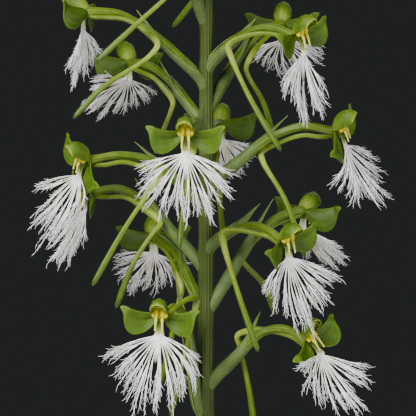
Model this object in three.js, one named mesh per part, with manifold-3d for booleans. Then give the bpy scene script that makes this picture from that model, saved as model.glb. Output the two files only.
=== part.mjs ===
// A potted Habenaria medioflexa orchid in flower, in millimetres, +Z up.
// The origin is the centre of the pot's underside. The plant's best side faces -Y.
//
// A round plastic pot holds a bed of potting mix. One leafy stem stands in a plain hole in the mix
// and ends in a raceme. Each open flower is three pieces: a green one (bract, stalk with its ovary,
// hood, two lateral sepals and the long bent spur), a yellow column, and a white fringed lip.
import * as THREE from "three";
import { mergeVertices } from "three/addons/utils/BufferGeometryUtils.js";
import Module from "manifold-3d";

const wasm = await Module();
wasm.setup();

// Driving dimensions.
const SEAT_GAP = 0.3; // between pieces that touch on the real plant
const BLADE = 0.62; // thickness of bracts, sepals and hood

const POT = {
  height: 104,
  baseRadius: 40,
  rimRadius: 58,
  bandHeight: 20,
  bandStep: 2.6,
  wall: 3,
  floor: 4,
  footRadius: 1.6,
  drainRadius: 4,
  drainCircle: 25,
  drains: 4,
  segments: 24,
};
const SOIL = { top: 94, swell: 3.2, lumps: 1.1, holeFloor: 50, segments: 24 };

const STEM = {
  path: [
    [0, 0, SOIL.holeFloor + SEAT_GAP],
    [0, 0, 100],
    [1.6, 0.8, 170],
    [0.9, 0.5, 240],
    [0, 0, 300],
    [0, 0, 404],
    [-0.7, 0.3, 452],
  ],
  // Radius at each height.
  girth: [
    [50, 3.1],
    [110, 3.0],
    [240, 2.4],
    [300, 1.95],
    [404, 1.5],
    [452, 0.75],
  ],
  sides: 8,
  groove: 0.93,
  steps: 18,
};

// Each leaf: the height where it leaves the stem, its compass angle from +X, length, width, and how
// far its tip reaches out and up as shares of its length.
const LEAVES = [
  { height: 112, angle: 205, length: 138, width: 27, out: 0.84, up: 0.16 },
  { height: 128, angle: 335, length: 158, width: 30, out: 0.86, up: 0.2 },
  { height: 148, angle: 105, length: 156, width: 28, out: 0.82, up: 0.28 },
  { height: 172, angle: 245, length: 132, width: 23, out: 0.76, up: 0.36 },
  { height: 200, angle: 18, length: 98, width: 17, out: 0.66, up: 0.5 },
  { height: 232, angle: 158, length: 66, width: 11, out: 0.5, up: 0.66 },
];
const LEAF = { thickness: 0.8, lengthSteps: 7, widthSteps: 4, wrap: 112 };

// Sizes that every flower shares, in the flower's own frame: x to its side, y up and z out of its face.
const FLOWER = {
  receptacle: 1.25,
  stalkRadius: [1.15, 1.3, 1.35, 1.25, 1.0, 0.95, 1.0, 1.0, 0.85],
  spurRadius: [0.62, 0.62, 0.66, 0.78, 1.12, 0.98, 0.84, 0.88, 0.84, 0.42],
  hoodCrest: [
    [-0.6, 0.9],
    [0.7, 3.4],
    [2.5, 4.9],
    [4.5, 5.6],
    [6.2, 4.9],
  ],
  hoodRim: [
    [0.1, 0.3],
    [5.7, 3.3],
  ],
  hoodHalfWidth: 2.35,
  sepalUpper: [
    [0.8, 0.9],
    [3.5, 1.0],
    [6.0, 1.2],
    [8.7, 3.0],
  ],
  sepalLower: [
    [0.8, -0.6],
    [2.4, -4.4],
    [9.7, -8.2],
    [8.7, 3.0],
  ],
  sepalSweep: 0.34,
  sepalCup: 0.9,
  antherRadius: [1.6, 1.2, 0.8],
  prongLength: 3.7,
  clawTop: -0.6,
  clawEnd: -4.4,
};
const BRACT = { leaves: 0.42, radius: [0.9, 1.0, 0.7, 0.3] };
const LIP = {
  thickness: 0.8,
  web: 4.4,
  strands: 7,
  innerAngle: 12,
  sideLoss: 0.2,
  alternate: 0.93,
  droop: 0.88,
  tipRoom: 0.36,
  forkWidth: 1.5,
  forkAt: 0.7,
  midLobe: 6.4,
  midLobeWidth: 1.1,
};

// Every open flower. stalk runs from the stem to the flower's throat, spur from the throat back to
// its knee and down to its tip, bract is the bract's free tip. face is the compass angle that the
// flower looks to (0 is -Y, 90 is +X), pitch its tilt above the horizon, roll its turn. The lip has
// its swing forward from hanging, half spread, turn to one side, length, and how far its lobes fold back.
// sepals says how far a lateral sepal droops and turns forward about its hinge, where it isn't spread level.
const FLOWERS = [
  {
    name: "flower_01",
    stalk: [
      [-1.3, -0.9, 384.2], [-6.5, -3, 389.5], [-13.5, -4.6, 395.4], [-21.5, -5.6, 400.2], [-29.5, -6, 400.7],
    ],
    spur: [
      [-25.2, -6.6, 399.3], [-20.2, -7.2, 398.8], [-16, -8, 396.6],
      [-12, -8.6, 392.6], [-14, -9.3, 389.6], [-25.5, -11.5, 381.7], [-32.8, -13, 374],
    ],
    bract: [-17.2, -2.5, 401.4], face: -112, pitch: -4, roll: 0,
    lip: { swing: 4, spread: 66, turn: -6, length: 15, fold: 10 },
  },
  {
    name: "flower_02",
    stalk: [
      [-1.2, 0.9, 373.7], [-5.2, 4, 379.2], [-9.5, 7.5, 384.5], [-14, 11, 387.8], [-19.2, 16, 389],
    ],
    spur: [
      [-16.6, 12.6, 386.6], [-13.4, 9.6, 385], [-10.6, 7.8, 382.2],
      [-8.3, 7, 378.9], [-8.8, 8.4, 376.6], [-11, 16, 371.5], [-13.1, 25, 366.2],
    ],
    bract: [-11.6, 5.5, 389.2], face: -158, pitch: 4, roll: 0,
    lip: { swing: 24, spread: 86, turn: 10, length: 13.5, fold: 10 },
  },
  {
    name: "flower_03",
    stalk: [
      [-0.5, -1.5, 367.6], [-1.6, -9, 372.3], [-3, -17, 373.2], [-4.2, -22.6, 371.6], [-4.8, -27, 369.8],
    ],
    spur: [
      [-4.2, -21.5, 368.4], [-3.6, -16.8, 368.9], [-3.1, -12.4, 368.4],
      [-3, -9.4, 366.6], [-3.5, -9.6, 364.2], [-5.4, -13, 352.6], [-6.6, -16, 341.8],
    ],
    bract: [-0.6, -14.5, 377.8], face: -4, pitch: -12, roll: 0,
    lip: { swing: 18, spread: 79, turn: 0, length: 19, fold: 4 },
  },
  {
    name: "flower_04",
    stalk: [
      [-1.4, -0.9, 352.4], [-7, -3, 358.2], [-13, -5.2, 363.4], [-21.8, -8, 365.1], [-29.3, -9, 363.9],
    ],
    spur: [
      [-25.2, -8.9, 362.7], [-20.5, -8.9, 363.4], [-15.6, -8.9, 362.2],
      [-11.2, -9.4, 360.6], [-12.6, -10.6, 358.2], [-20, -13.2, 347], [-28, -15, 332.8],
    ],
    bract: [-17.8, -3.6, 368.4], face: -64, pitch: -4, roll: -30, sepals: { right: [12, -20] },
    lip: { swing: 12, spread: 76, turn: 13, length: 19, fold: -10 },
  },
  {
    name: "flower_05",
    stalk: [
      [-1.6, 0.6, 338], [-8.6, 2.6, 345.8], [-15.2, 4, 353.2], [-21.8, 4.8, 356.8], [-29, 4.6, 356],
    ],
    spur: [
      [-24.6, 3.8, 354.8], [-20.2, 3, 354.7], [-15.4, 1.6, 351.8],
      [-11.4, -0.4, 348.2], [-12.9, -1.4, 346.2], [-18, -2.4, 338.4], [-22.5, -2, 327],
    ],
    bract: [-17.9, 5.8, 359.4], face: -74, pitch: -8, roll: -22,
    lip: { swing: 20, spread: 52, turn: 4, length: 16.5, fold: 0 },
  },
  {
    name: "flower_06",
    stalk: [
      [-1.5, 1.1, 328.4], [-4.4, 5.4, 334.4], [-7.4, 11.4, 340], [-10.6, 17, 343.4], [-13.2, 22, 344.8],
    ],
    spur: [
      [-11.2, 17.6, 342], [-9.4, 13, 340], [-7.7, 9, 336.4],
      [-6.1, 6.4, 331.4], [-6.7, 6.9, 328.9], [-9, 9, 318], [-11.5, 11, 307],
    ],
    bract: [-6.4, 10, 343.6], face: -172, pitch: 0, roll: 0,
    lip: { swing: 18, spread: 84, turn: 6, length: 13.5, fold: 10 },
  },
  {
    name: "flower_07",
    stalk: [
      [-1.8, -0.9, 302], [-3.6, -3.4, 314], [-4.6, -7, 322.6], [-7.4, -16, 327.6], [-11, -24.6, 325.6],
    ],
    spur: [
      [-8.8, -21.4, 326.4], [-6.6, -18, 328.4], [-3.8, -13.8, 329.8],
      [-2.3, -10.8, 329.6], [-2.7, -11.1, 327], [-5.4, -14.4, 315.6], [-8.7, -18, 300.8],
    ],
    bract: [-7.6, -9.4, 334.6], face: -8, pitch: -10, roll: -3,
    lip: { swing: 17, spread: 77, turn: -3, length: 20, fold: 4 },
  },
  {
    name: "flower_08",
    stalk: [
      [1.3, 0.9, 377.8], [5, 6, 385], [10, 12, 392.4], [15.2, 16.6, 397.6], [19.2, 21, 399.2],
    ],
    spur: [
      [16.6, 17.2, 396.4], [14, 14, 394], [12, 11.4, 391.4],
      [10.1, 9, 387.2], [10.9, 9.2, 384.9], [14.4, 12.6, 379], [17, 17.4, 371.4],
    ],
    bract: [12.2, 13, 398.4], face: 170, pitch: 8, roll: 0,
    lip: { swing: 22, spread: 84, turn: -10, length: 15, fold: 10 },
  },
  {
    name: "flower_09",
    stalk: [
      [1.3, -0.8, 388.2], [6.4, -3.4, 393.2], [12.2, -7, 396.3], [17.6, -10, 396.3], [22.4, -12.2, 394.6],
    ],
    spur: [
      [18.2, -11.4, 394.6], [14.4, -10.4, 395.2], [9.6, -9.4, 394.5],
      [5.5, -9.2, 392.2], [6.1, -9.9, 389.6], [11.6, -13, 377.6], [18.5, -16, 365.9],
    ],
    bract: [12.3, -3.4, 399.3], face: 48, pitch: -3, roll: 17,
    lip: { swing: -2, spread: 44, turn: -32, length: 18.4, fold: -8 },
  },
  {
    name: "flower_10",
    stalk: [
      [0.2, 1.5, 361.8], [0.8, 7.6, 368.4], [1.6, 14, 372.4], [2.6, 19.4, 373.6], [3.5, 24, 373.8],
    ],
    spur: [
      [2.9, 19.4, 371.8], [2.3, 15.4, 371], [2.3, 11.4, 368.6],
      [2.6, 8.2, 364.4], [2.9, 8.9, 361.8], [3.8, 13, 350.6], [4.6, 15.4, 340],
    ],
    bract: [-1.6, 12.4, 376.8], face: 170, pitch: 0, roll: 0,
    lip: { swing: 14, spread: 74, turn: -14, length: 12.5, fold: 10 },
  },
  {
    name: "flower_11",
    stalk: [
      [1.6, -0.6, 358.2], [9, -2.2, 364], [16.8, -3.8, 369.9], [24.4, -4.6, 372.3], [32.2, -5, 371.3],
    ],
    spur: [
      [28.4, -4.8, 369.7], [24.4, -4.4, 370.1], [19.4, -2.6, 368.8],
      [13.9, -1.5, 366], [14.2, -3, 363.6], [19.6, -7.6, 354], [24.6, -9.6, 339.6],
    ],
    bract: [20.5, -1.6, 375], face: 70, pitch: 4, roll: 28, sepals: { left: [5, -12] },
    lip: { swing: 2, spread: 66, turn: -2, length: 18.4, fold: -10 },
  },
  {
    name: "flower_12",
    stalk: [
      [1.8, -0.3, 328.2], [7.6, 2, 337.6], [13.4, 4.6, 345.8], [18.8, 7, 350], [24.4, 10, 351.3],
    ],
    spur: [
      [20.4, 9.4, 349.2], [16.4, 9, 347.2], [12, 8, 343.9],
      [8.4, 6.9, 340.5], [9.6, 7.6, 338.1], [14.6, 10, 332.6], [17.6, 13, 325],
    ],
    bract: [17, 3.4, 354.3], face: 150, pitch: -6, roll: 8,
    lip: { swing: 58, spread: 62, turn: -8, length: 17, fold: 12 },
  },
  {
    name: "flower_13",
    stalk: [
      [1.2, -1.1, 342.3], [6, -6, 346], [11.4, -12, 347.6], [15.6, -17, 346.3], [18.9, -20.2, 344.2],
    ],
    spur: [
      [15.2, -18.4, 345], [11.6, -16.8, 345.9], [7.6, -15.6, 346.6],
      [4.2, -15, 346.1], [4.3, -15.6, 343.6], [7.8, -18.4, 331.4], [12.8, -21, 316.8],
    ],
    bract: [13.5, -4.4, 353], face: 42, pitch: -12, roll: 16,
    lip: { swing: 12, spread: 80, turn: -8, length: 19, fold: -14 },
  },
  {
    name: "flower_14",
    stalk: [
      [1.7, -0.6, 308.8], [8.2, -2.2, 315.4], [14.4, -4.4, 321.2], [20.2, -7, 321.8], [25.4, -9.4, 319],
    ],
    spur: [
      [21.6, -7.4, 319.9], [17.4, -5.2, 321.2], [12.2, -2.6, 321.6],
      [7.9, -0.6, 320.2], [8.4, 0.4, 317.6], [10.6, 1.4, 307.6], [12.6, 1.4, 294],
    ],
    bract: [13.6, -0.6, 326], face: 38, pitch: 16, roll: 26, sepals: { left: [0, -8] },
    lip: { swing: 0, spread: 78, turn: -22, length: 18.6, fold: -16 },
  },
  {
    name: "flower_15",
    stalk: [
      [-1.2, -0.8, 400.6], [-3.6, -5, 409.6], [-6, -10.6, 418.6], [-8.4, -16.4, 425.8], [-10.2, -21, 428.2],
    ],
    spur: [
      [-9, -17.4, 425], [-8, -15, 421], [-7, -13.4, 415],
      [-6.4, -12.6, 407.6], [-8.4, -12.9, 405.2], [-18, -13.8, 396.4], [-27.2, -14.6, 387.8],
    ],
    bract: [-2.6, -9.8, 421], face: -26, pitch: -8, roll: 0,
    lip: { swing: 30, spread: 68, turn: 0, length: 16, fold: 12 },
  },
  {
    name: "flower_16",
    stalk: [
      [-1, 1, 403.6], [-4.4, 5.6, 412.6], [-8.2, 11, 421], [-11.6, 16, 427.6], [-14, 20.4, 430],
    ],
    spur: [
      [-11.4, 16.6, 426.4], [-8, 12.6, 421.6], [-3.6, 9, 416.2],
      [1, 7.4, 412], [0.6, 8, 409.6], [-3.6, 10.4, 403.8], [-8.5, 13, 397.8],
    ],
    bract: [-7.4, 7, 424.6], face: -142, pitch: 2, roll: 0,
    lip: { swing: 20, spread: 72, turn: 0, length: 15, fold: 12 },
  },
];

// Closed buds above the flowers, each a share smaller than the one below it.
const BUDS = { count: 5, firstHeight: 411, lastHeight: 449, firstAngle: 12, turn: 137.5, length: 9.2, radius: 2.1 };

const COLOURS = {
  pot: [0xa9583a, 0.75],
  soil: [0x4a3628, 0.95],
  stem: [0x6d8443, 0.55],
  leaf: [0x4f7a2b, 0.5],
  flower: [0x6f9a2c, 0.5],
  lip: [0xf3f1f2, 0.6],
  column: [0xe7cf4a, 0.45],
};

const vec = (p) => new THREE.Vector3(...p);
const lerp = THREE.MathUtils.lerp;
const rad = THREE.MathUtils.degToRad;
const curveThrough = (points) => new THREE.CatmullRomCurve3(points.map((p) => (p.isVector3 ? p : vec(p))));

// The value at x of a list of [x, value] pairs, straight between them.
function along(pairs, x) {
  const i = Math.max(1, pairs.findIndex((p) => p[0] >= x));
  const [a, b] = x >= pairs.at(-1)[0] ? pairs.slice(-2) : [pairs[i - 1], pairs[i]];
  return lerp(a[1], b[1], THREE.MathUtils.clamp((x - a[0]) / (b[0] - a[0]), 0, 1));
}

// The value at share t of a list of evenly spaced values.
function spread(values, t) {
  return along(values.map((v, i) => [i / (values.length - 1), v]), t);
}

// A closed geometry as a manifold solid, and a solid back as a geometry.
function solid(geometry) {
  const bare = geometry.clone();
  bare.deleteAttribute("normal");
  bare.deleteAttribute("uv");
  const merged = mergeVertices(bare, 1e-4);
  return new wasm.Manifold(
    new wasm.Mesh({
      numProp: 3,
      vertProperties: merged.attributes.position.array,
      triVerts: new Uint32Array(merged.index.array),
    }),
  );
}

function geometryOf(manifold) {
  const mesh = manifold.getMesh();
  const geometry = new THREE.BufferGeometry();
  geometry.setAttribute("position", new THREE.BufferAttribute(mesh.vertProperties, 3));
  geometry.setIndex(new THREE.BufferAttribute(mesh.triVerts, 1));
  geometry.computeVertexNormals();
  return geometry;
}

// Joins closed geometries into one solid, and drops slivers too small to build.
function fuse(geometries, tolerance = 0.07) {
  return wasm.Manifold.union(geometries.map(solid)).simplify(tolerance);
}

// A cylinder bent along a curve. radiusAt gives its radius at a share of the length, and ridge the
// share of it left in the grooves between ridges.
function bentCylinder(curve, radiusAt, sides, steps, ridge = 1) {
  const geometry = new THREE.CylinderGeometry(1, 1, 1, sides, steps);
  const frames = curve.computeFrenetFrames(steps, false);
  const position = geometry.attributes.position;
  for (let i = 0; i < position.count; i++) {
    const [x, y, z] = [position.getX(i), position.getY(i), position.getZ(i)];
    const t = y + 0.5;
    const k = Math.round(t * steps);
    const spoke = Math.round((Math.atan2(z, x) / (2 * Math.PI)) * sides);
    const r = radiusAt(t) * (Math.abs(spoke) % 2 ? ridge : 1);
    const p = curve.getPointAt(t);
    p.addScaledVector(frames.normals[k], x * r).addScaledVector(frames.binormals[k], -z * r);
    position.setXYZ(i, p.x, p.y, p.z);
  }
  return geometry;
}

// A closed blade of even thickness on the surface at(u, v), u and v from 0 to 1. Both faces are split
// into triangles alike.
function blade(at, uSteps, vSteps, thickness) {
  const grid = [];
  for (let i = 0; i <= uSteps; i++)
    for (let j = 0; j <= vSteps; j++) grid.push(at(i / uSteps, j / vSteps));
  const id = (i, j) => i * (vSteps + 1) + j;
  const triangles = [];
  for (let i = 0; i < uSteps; i++)
    for (let j = 0; j < vSteps; j++) {
      triangles.push([id(i, j), id(i + 1, j), id(i + 1, j + 1)]);
      triangles.push([id(i, j), id(i + 1, j + 1), id(i, j + 1)]);
    }
  const normals = grid.map(() => new THREE.Vector3());
  for (const [a, b, c] of triangles) {
    const face = grid[b].clone().sub(grid[a]).cross(grid[c].clone().sub(grid[a]));
    for (const k of [a, b, c]) normals[k].add(face);
  }
  const half = thickness / 2;
  const shifted = (side) => grid.map((p, k) => p.clone().addScaledVector(normals[k].clone().normalize(), side * half));
  const points = [...shifted(1), ...shifted(-1)];
  const back = grid.length;
  const index = [];
  for (const [a, b, c] of triangles) index.push(a, b, c, back + a, back + c, back + b);
  const rim = [];
  for (let i = 0; i < uSteps; i++) rim.push([id(i + 1, 0), id(i, 0)], [id(i, vSteps), id(i + 1, vSteps)]);
  for (let j = 0; j < vSteps; j++) rim.push([id(0, j), id(0, j + 1)], [id(uSteps, j + 1), id(uSteps, j)]);
  for (const [a, b] of rim) index.push(a, b, back + b, a, back + b, back + a);
  const geometry = new THREE.BufferGeometry().setFromPoints(points);
  geometry.setIndex(index);
  return geometry;
}

const group = new THREE.Group();

function addNode(name, manifold, [colour, roughness]) {
  const material = new THREE.MeshStandardMaterial({ color: colour, roughness, metalness: 0 });
  const mesh = new THREE.Mesh(geometryOf(manifold), material);
  mesh.name = name;
  group.add(mesh);
}

// The pot: a tapered wall with a stepped band under the rim, and drain holes off centre in its floor.
function potInnerRadius(z) {
  return lerp(POT.baseRadius, POT.rimRadius - POT.bandStep, z / POT.height) - POT.wall;
}

function pot() {
  const bandFoot = POT.height - POT.bandHeight;
  const wallAt = (z) => potInnerRadius(z) + POT.wall;
  const profile = [
    [0, 0],
    [POT.baseRadius - POT.footRadius, 0],
    [POT.baseRadius, POT.footRadius],
    [wallAt(bandFoot), bandFoot],
    [wallAt(bandFoot) + POT.bandStep, bandFoot + 1],
    [POT.rimRadius, POT.height - 1],
    [POT.rimRadius - 1, POT.height],
    [potInnerRadius(POT.height), POT.height],
    [potInnerRadius(POT.floor), POT.floor],
    [0, POT.floor],
  ];
  const shell = solid(new THREE.LatheGeometry(profile.map(([r, z]) => new THREE.Vector2(r, z)), POT.segments).rotateX(Math.PI / 2));
  const drains = Array.from({ length: POT.drains }, (_, k) => {
    const angle = ((k + 0.5) * 2 * Math.PI) / POT.drains;
    const hole = new THREE.CylinderGeometry(POT.drainRadius, POT.drainRadius, 4 * POT.floor, 12).rotateX(Math.PI / 2);
    return hole.translate(POT.drainCircle * Math.cos(angle), POT.drainCircle * Math.sin(angle), 0);
  });
  return drains.reduce((made, hole) => made.subtract(solid(hole)), shell);
}

const stemCurve = curveThrough(STEM.path);
const stemRadius = (z) => along(STEM.girth, z);

// The stem's centre at a height.
function stemCentre(z) {
  let [low, high] = [0, 1];
  for (let i = 0; i < 30; i++) {
    const middle = (low + high) / 2;
    if (stemCurve.getPoint(middle).z < z) low = middle;
    else high = middle;
  }
  return stemCurve.getPoint(low);
}

function stemBody(extra = 0) {
  return bentCylinder(
    stemCurve,
    (t) => stemRadius(stemCurve.getPointAt(t).z) + extra,
    STEM.sides,
    STEM.steps,
    extra ? 1 : STEM.groove,
  );
}

// The potting mix: it fills the pot, is lumpy on top, and has the stem's plain hole in it.
function soil() {
  const holeRadius = stemRadius(SOIL.holeFloor) + 2 * SEAT_GAP;
  const floor = POT.floor + SEAT_GAP;
  const wall = (z) => potInnerRadius(z) - SEAT_GAP - 0.4;
  const rings = [[wall(SOIL.top), 0], [41, 0.4], [28, 0.7], [14, 0.95], [holeRadius, 1]];
  const profile = [
    [0, floor],
    [wall(floor), floor],
    ...rings.map(([r, share]) => [r, SOIL.top + SOIL.swell * share]),
    [holeRadius, SOIL.holeFloor],
    [0, SOIL.holeFloor],
  ];
  const geometry = new THREE.LatheGeometry(profile.map(([r, z]) => new THREE.Vector2(r, z)), SOIL.segments).rotateX(Math.PI / 2);
  const position = geometry.attributes.position;
  for (let i = 0; i < position.count; i++) {
    const [x, y, z] = [position.getX(i), position.getY(i), position.getZ(i)];
    if (z > SOIL.top - 1 && Math.hypot(x, y) > holeRadius + 1)
      position.setZ(i, z + SOIL.lumps * Math.sin(0.41 * x + 1) * Math.cos(0.37 * y - 0.08 * x));
  }
  return solid(geometry);
}

// A strap leaf: its foot wraps the stem, its blade arches out and its tip droops.
function leaf({ height, angle, length, width, out, up }) {
  const centre = stemCentre(height);
  const outward = new THREE.Vector3(Math.cos(rad(angle)), Math.sin(rad(angle)), 0);
  const side = new THREE.Vector3(-outward.y, outward.x, 0);
  const wrapRadius = (stemRadius(height) + SEAT_GAP + LEAF.thickness / 2) / Math.cos(rad(LEAF.wrap / LEAF.widthSteps));
  const rise = (r, z) => centre.clone().addScaledVector(outward, r).add(new THREE.Vector3(0, 0, z));
  const midrib = new THREE.CubicBezierCurve3(
    rise(wrapRadius, 0),
    rise(wrapRadius + 0.06 * length, 0.42 * length),
    rise(0.5 * length, (up + 0.34) * length),
    rise(out * length, up * length),
  );
  return solid(
    blade(
      (u, v) => {
        const t = 0.02 + 0.98 * u;
        const point = midrib.getPoint(u);
        const tangent = midrib.getTangent(u);
        const normal = tangent.clone().cross(side).normalize();
        const open = THREE.MathUtils.smoothstep(u, 0.05, 0.4);
        const outline = Math.sin(Math.PI * Math.pow(t, 0.72)) ** 0.85;
        const half = lerp(rad(LEAF.wrap) * wrapRadius * (1 - u), 0, open) + (width / 2) * outline * open + 0.5;
        const radius = lerp(wrapRadius, Math.max(width * 0.9, 8), open);
        const turn = Math.min(half / radius, rad(LEAF.wrap)) * (2 * v - 1);
        const wave = open * (1 - u) * 0.022 * width * Math.sin(17 * u + (v > 0.5 ? 1.7 : 0)) * Math.abs(2 * v - 1);
        return point
          .addScaledVector(side, radius * Math.sin(turn))
          .addScaledVector(normal, radius * (1 - Math.cos(turn)) + wave);
      },
      LEAF.lengthSteps,
      LEAF.widthSteps,
      LEAF.thickness,
    ),
  );
}

// The flower's own frame as a matrix: x to its side, y up, z out of its face.
function flowerFrame({ stalk, face, pitch, roll }) {
  const z = new THREE.Vector3(
    Math.sin(rad(face)) * Math.cos(rad(pitch)),
    -Math.cos(rad(face)) * Math.cos(rad(pitch)),
    Math.sin(rad(pitch)),
  );
  const y = new THREE.Vector3(0, 0, 1).addScaledVector(z, -z.z).normalize().applyAxisAngle(z, rad(roll));
  const x = y.clone().cross(z);
  return new THREE.Matrix4().makeBasis(x, y, z).setPosition(vec(stalk.at(-1)));
}

// The hood: the dorsal sepal with the petals against it, cupped over the column.
function hood() {
  const crest = new THREE.SplineCurve(FLOWER.hoodCrest.map((p) => new THREE.Vector2(...p)));
  const [[z0, y0], [z1, y1]] = FLOWER.hoodRim;
  return blade(
    (u, v) => {
      const top = crest.getPoint(u);
      const half = 0.5 + (FLOWER.hoodHalfWidth - 0.5) * Math.sin(Math.PI * (0.14 + 0.64 * u));
      const turn = (v - 0.5) * Math.PI;
      const [z, y] = [lerp(z0, z1, u), lerp(y0, y1, u)];
      return new THREE.Vector3(
        half * Math.sin(turn),
        y + (top.y - y) * Math.cos(turn),
        z + (top.x - z) * Math.cos(turn),
      );
    },
    3,
    3,
    BLADE,
  );
}

// A lateral sepal, spread like a wing, on the side +1 or -1, then turned about its hinge.
function sepal(side, [droop, forward] = [0, 0]) {
  const edge = (points) => new THREE.CubicBezierCurve(...points.map((p) => new THREE.Vector2(...p)));
  const [upper, lower] = [edge(FLOWER.sepalUpper), edge(FLOWER.sepalLower)];
  const hinge = side * 0.8;
  const spreadBlade = blade(
    (u, v) => {
      const t = 0.97 * u;
      const across = side > 0 ? v : 1 - v;
      const p = upper.getPoint(t).lerp(lower.getPoint(t), across);
      const cup = FLOWER.sepalCup * Math.sin(Math.PI * across) * Math.sin(Math.PI * Math.min(1, u + 0.1));
      return new THREE.Vector3(side * p.x - hinge, p.y, 0.15 + FLOWER.sepalSweep * (p.x - 0.8) - cup);
    },
    3,
    2,
    BLADE,
  );
  return spreadBlade.rotateZ(-side * rad(droop)).rotateY(-side * rad(forward)).translate(hinge, 0, 0);
}

// The free tip of the bract: it leaves the sheathed part of the stalk where the stalk bends away.
function bractTip(stalk, tip, size = 1) {
  const root = stalk.getPointAt(BRACT.leaves - 0.16);
  const middle = stalk.getPointAt(BRACT.leaves).lerp(tip, 0.35);
  return bentCylinder(curveThrough([root, middle, tip]), (t) => size * spread(BRACT.radius, t), 3, 3);
}

const stemAndGap = solid(stemBody(SEAT_GAP));

// The green piece of a flower.
function greenPiece(plan) {
  const frame = flowerFrame(plan);
  const place = (geometry) => geometry.applyMatrix4(frame);
  const local = (x, y, z) => new THREE.Vector3(x, y, z).applyMatrix4(frame);
  const stalk = curveThrough([...plan.stalk.slice(0, -1), local(0, 0, -1), local(0, 0, 0.3)]);
  const stalkRadius = (t) => (t > 0.97 ? FLOWER.receptacle : spread(FLOWER.stalkRadius, t));
  const spur = curveThrough([local(0, -0.5, 0), local(0, -1.3, -1.4), ...plan.spur]);
  const joined = fuse([
    bentCylinder(stalk, stalkRadius, 5, 6),
    bentCylinder(spur, (t) => spread(FLOWER.spurRadius, t), 5, 9),
    bractTip(stalk, vec(plan.bract)),
    place(hood()),
    place(sepal(1, plan.sepals?.right)),
    place(sepal(-1, plan.sepals?.left)),
  ]);
  return joined.subtract(stemAndGap);
}

// The column: the anther with a long prong hanging from each side of it.
function column(plan) {
  const anther = new THREE.SphereGeometry(1, 6, 3).scale(...FLOWER.antherRadius).rotateX(0.3).translate(0, 1.2, 1.85);
  const prongs = [1, -1].map((side) => {
    const prong = new THREE.ConeGeometry(0.5, FLOWER.prongLength, 3).rotateX(Math.PI - 0.3);
    return prong.rotateZ(side * 0.04).translate(side * 0.85, -0.95, 2.75);
  });
  return fuse([anther, ...prongs].map((piece) => piece.applyMatrix4(flowerFrame(plan))));
}

// The lip's outline, hanging: a narrow claw, a short middle lobe and two fans of forked strands.
function lipOutline({ spread: fan, turn, length }) {
  const polar = (r, degrees) => new THREE.Vector2(r * Math.sin(rad(degrees)), -r * Math.cos(rad(degrees)));
  const turned = (x, y) => new THREE.Vector2(x, y).rotateAround(new THREE.Vector2(), rad(turn));
  const clawLength = FLOWER.clawTop - FLOWER.clawEnd;
  const lobe = (side) => {
    const step = (fan - LIP.innerAngle) / (LIP.strands - 1);
    const strand = (k) => {
      const angle = LIP.innerAngle + k * step;
      const share = k / (LIP.strands - 1);
      const reach = length * (1 - LIP.sideLoss * share ** 1.5) * (k % 2 ? LIP.alternate : 1);
      const tip = angle * LIP.droop;
      const half = Math.min(THREE.MathUtils.radToDeg(LIP.forkWidth / 2 / reach), LIP.tipRoom * step);
      return [
        polar(reach * 0.95, side * (tip - half) + turn),
        polar(reach * LIP.forkAt, side * tip + turn),
        polar(reach, side * (tip + half) + turn),
        polar(LIP.web, side * (angle + step / 2) + turn),
      ];
    };
    const points = Array.from({ length: LIP.strands }, (_, k) => strand(k)).flat();
    points.pop();
    return side > 0 ? points : points.reverse();
  };
  const half = LIP.midLobeWidth / 2;
  return [
    new THREE.Vector2(-0.5, clawLength),
    new THREE.Vector2(-1, 1),
    polar(1.9, -fan - 8 + turn),
    ...lobe(-1),
    polar(2.6, -8 + turn),
    turned(-half, -LIP.midLobe + 1.2),
    turned(0, -LIP.midLobe),
    turned(half, -LIP.midLobe + 1.2),
    polar(2.6, 8 + turn),
    ...lobe(1),
    polar(1.9, fan + 8 + turn),
    new THREE.Vector2(1, 1),
    new THREE.Vector2(0.5, clawLength),
  ];
}

function lip(plan) {
  const { swing, fold = 10 } = plan.lip;
  const geometry = new THREE.ExtrudeGeometry(new THREE.Shape(lipOutline(plan.lip)), {
    depth: LIP.thickness,
    bevelEnabled: false,
  });
  const position = geometry.attributes.position;
  for (let i = 0; i < position.count; i++) {
    const [x, y, z] = [position.getX(i), position.getY(i), position.getZ(i)];
    const down = Math.max(0, -y);
    const lean = down * Math.sin(rad(swing)) + 0.012 * down * down - Math.abs(x) * Math.sin(rad(fold));
    const height = FLOWER.clawEnd + (y > 0 ? y : y * Math.cos(rad(swing)));
    position.setXYZ(i, x * Math.cos(rad(fold)), height, z + 0.72 + 0.1 * Math.max(0, FLOWER.clawTop - FLOWER.clawEnd - y) + lean);
  }
  return solid(geometry.applyMatrix4(flowerFrame(plan)));
}

// A closed bud on its stalk, with its bract.
function bud(k) {
  const share = k / (BUDS.count - 1);
  const height = lerp(BUDS.firstHeight, BUDS.lastHeight, share ** 0.85);
  const angle = rad(BUDS.firstAngle + k * BUDS.turn);
  const outward = new THREE.Vector3(Math.cos(angle), Math.sin(angle), 0);
  const size = 1 - 0.55 * share;
  const at = (r, z) => stemCentre(height).addScaledVector(outward, r * size).add(new THREE.Vector3(0, 0, z * size));
  const curve = curveThrough([at(0, 0), at(3.4, 6), at(7, 12), at(11, 15.5), at(11 + BUDS.length * 0.8, 16.5)]);
  const radius = (t) => size * spread([0.8, 0.85, 0.95, 1.05, 0.95, BUDS.radius, BUDS.radius * 0.95, 0.35], t);
  return [bentCylinder(curve, radius, 5, 6), bractTip(curve, at(5.5, 17), size)];
}

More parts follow.
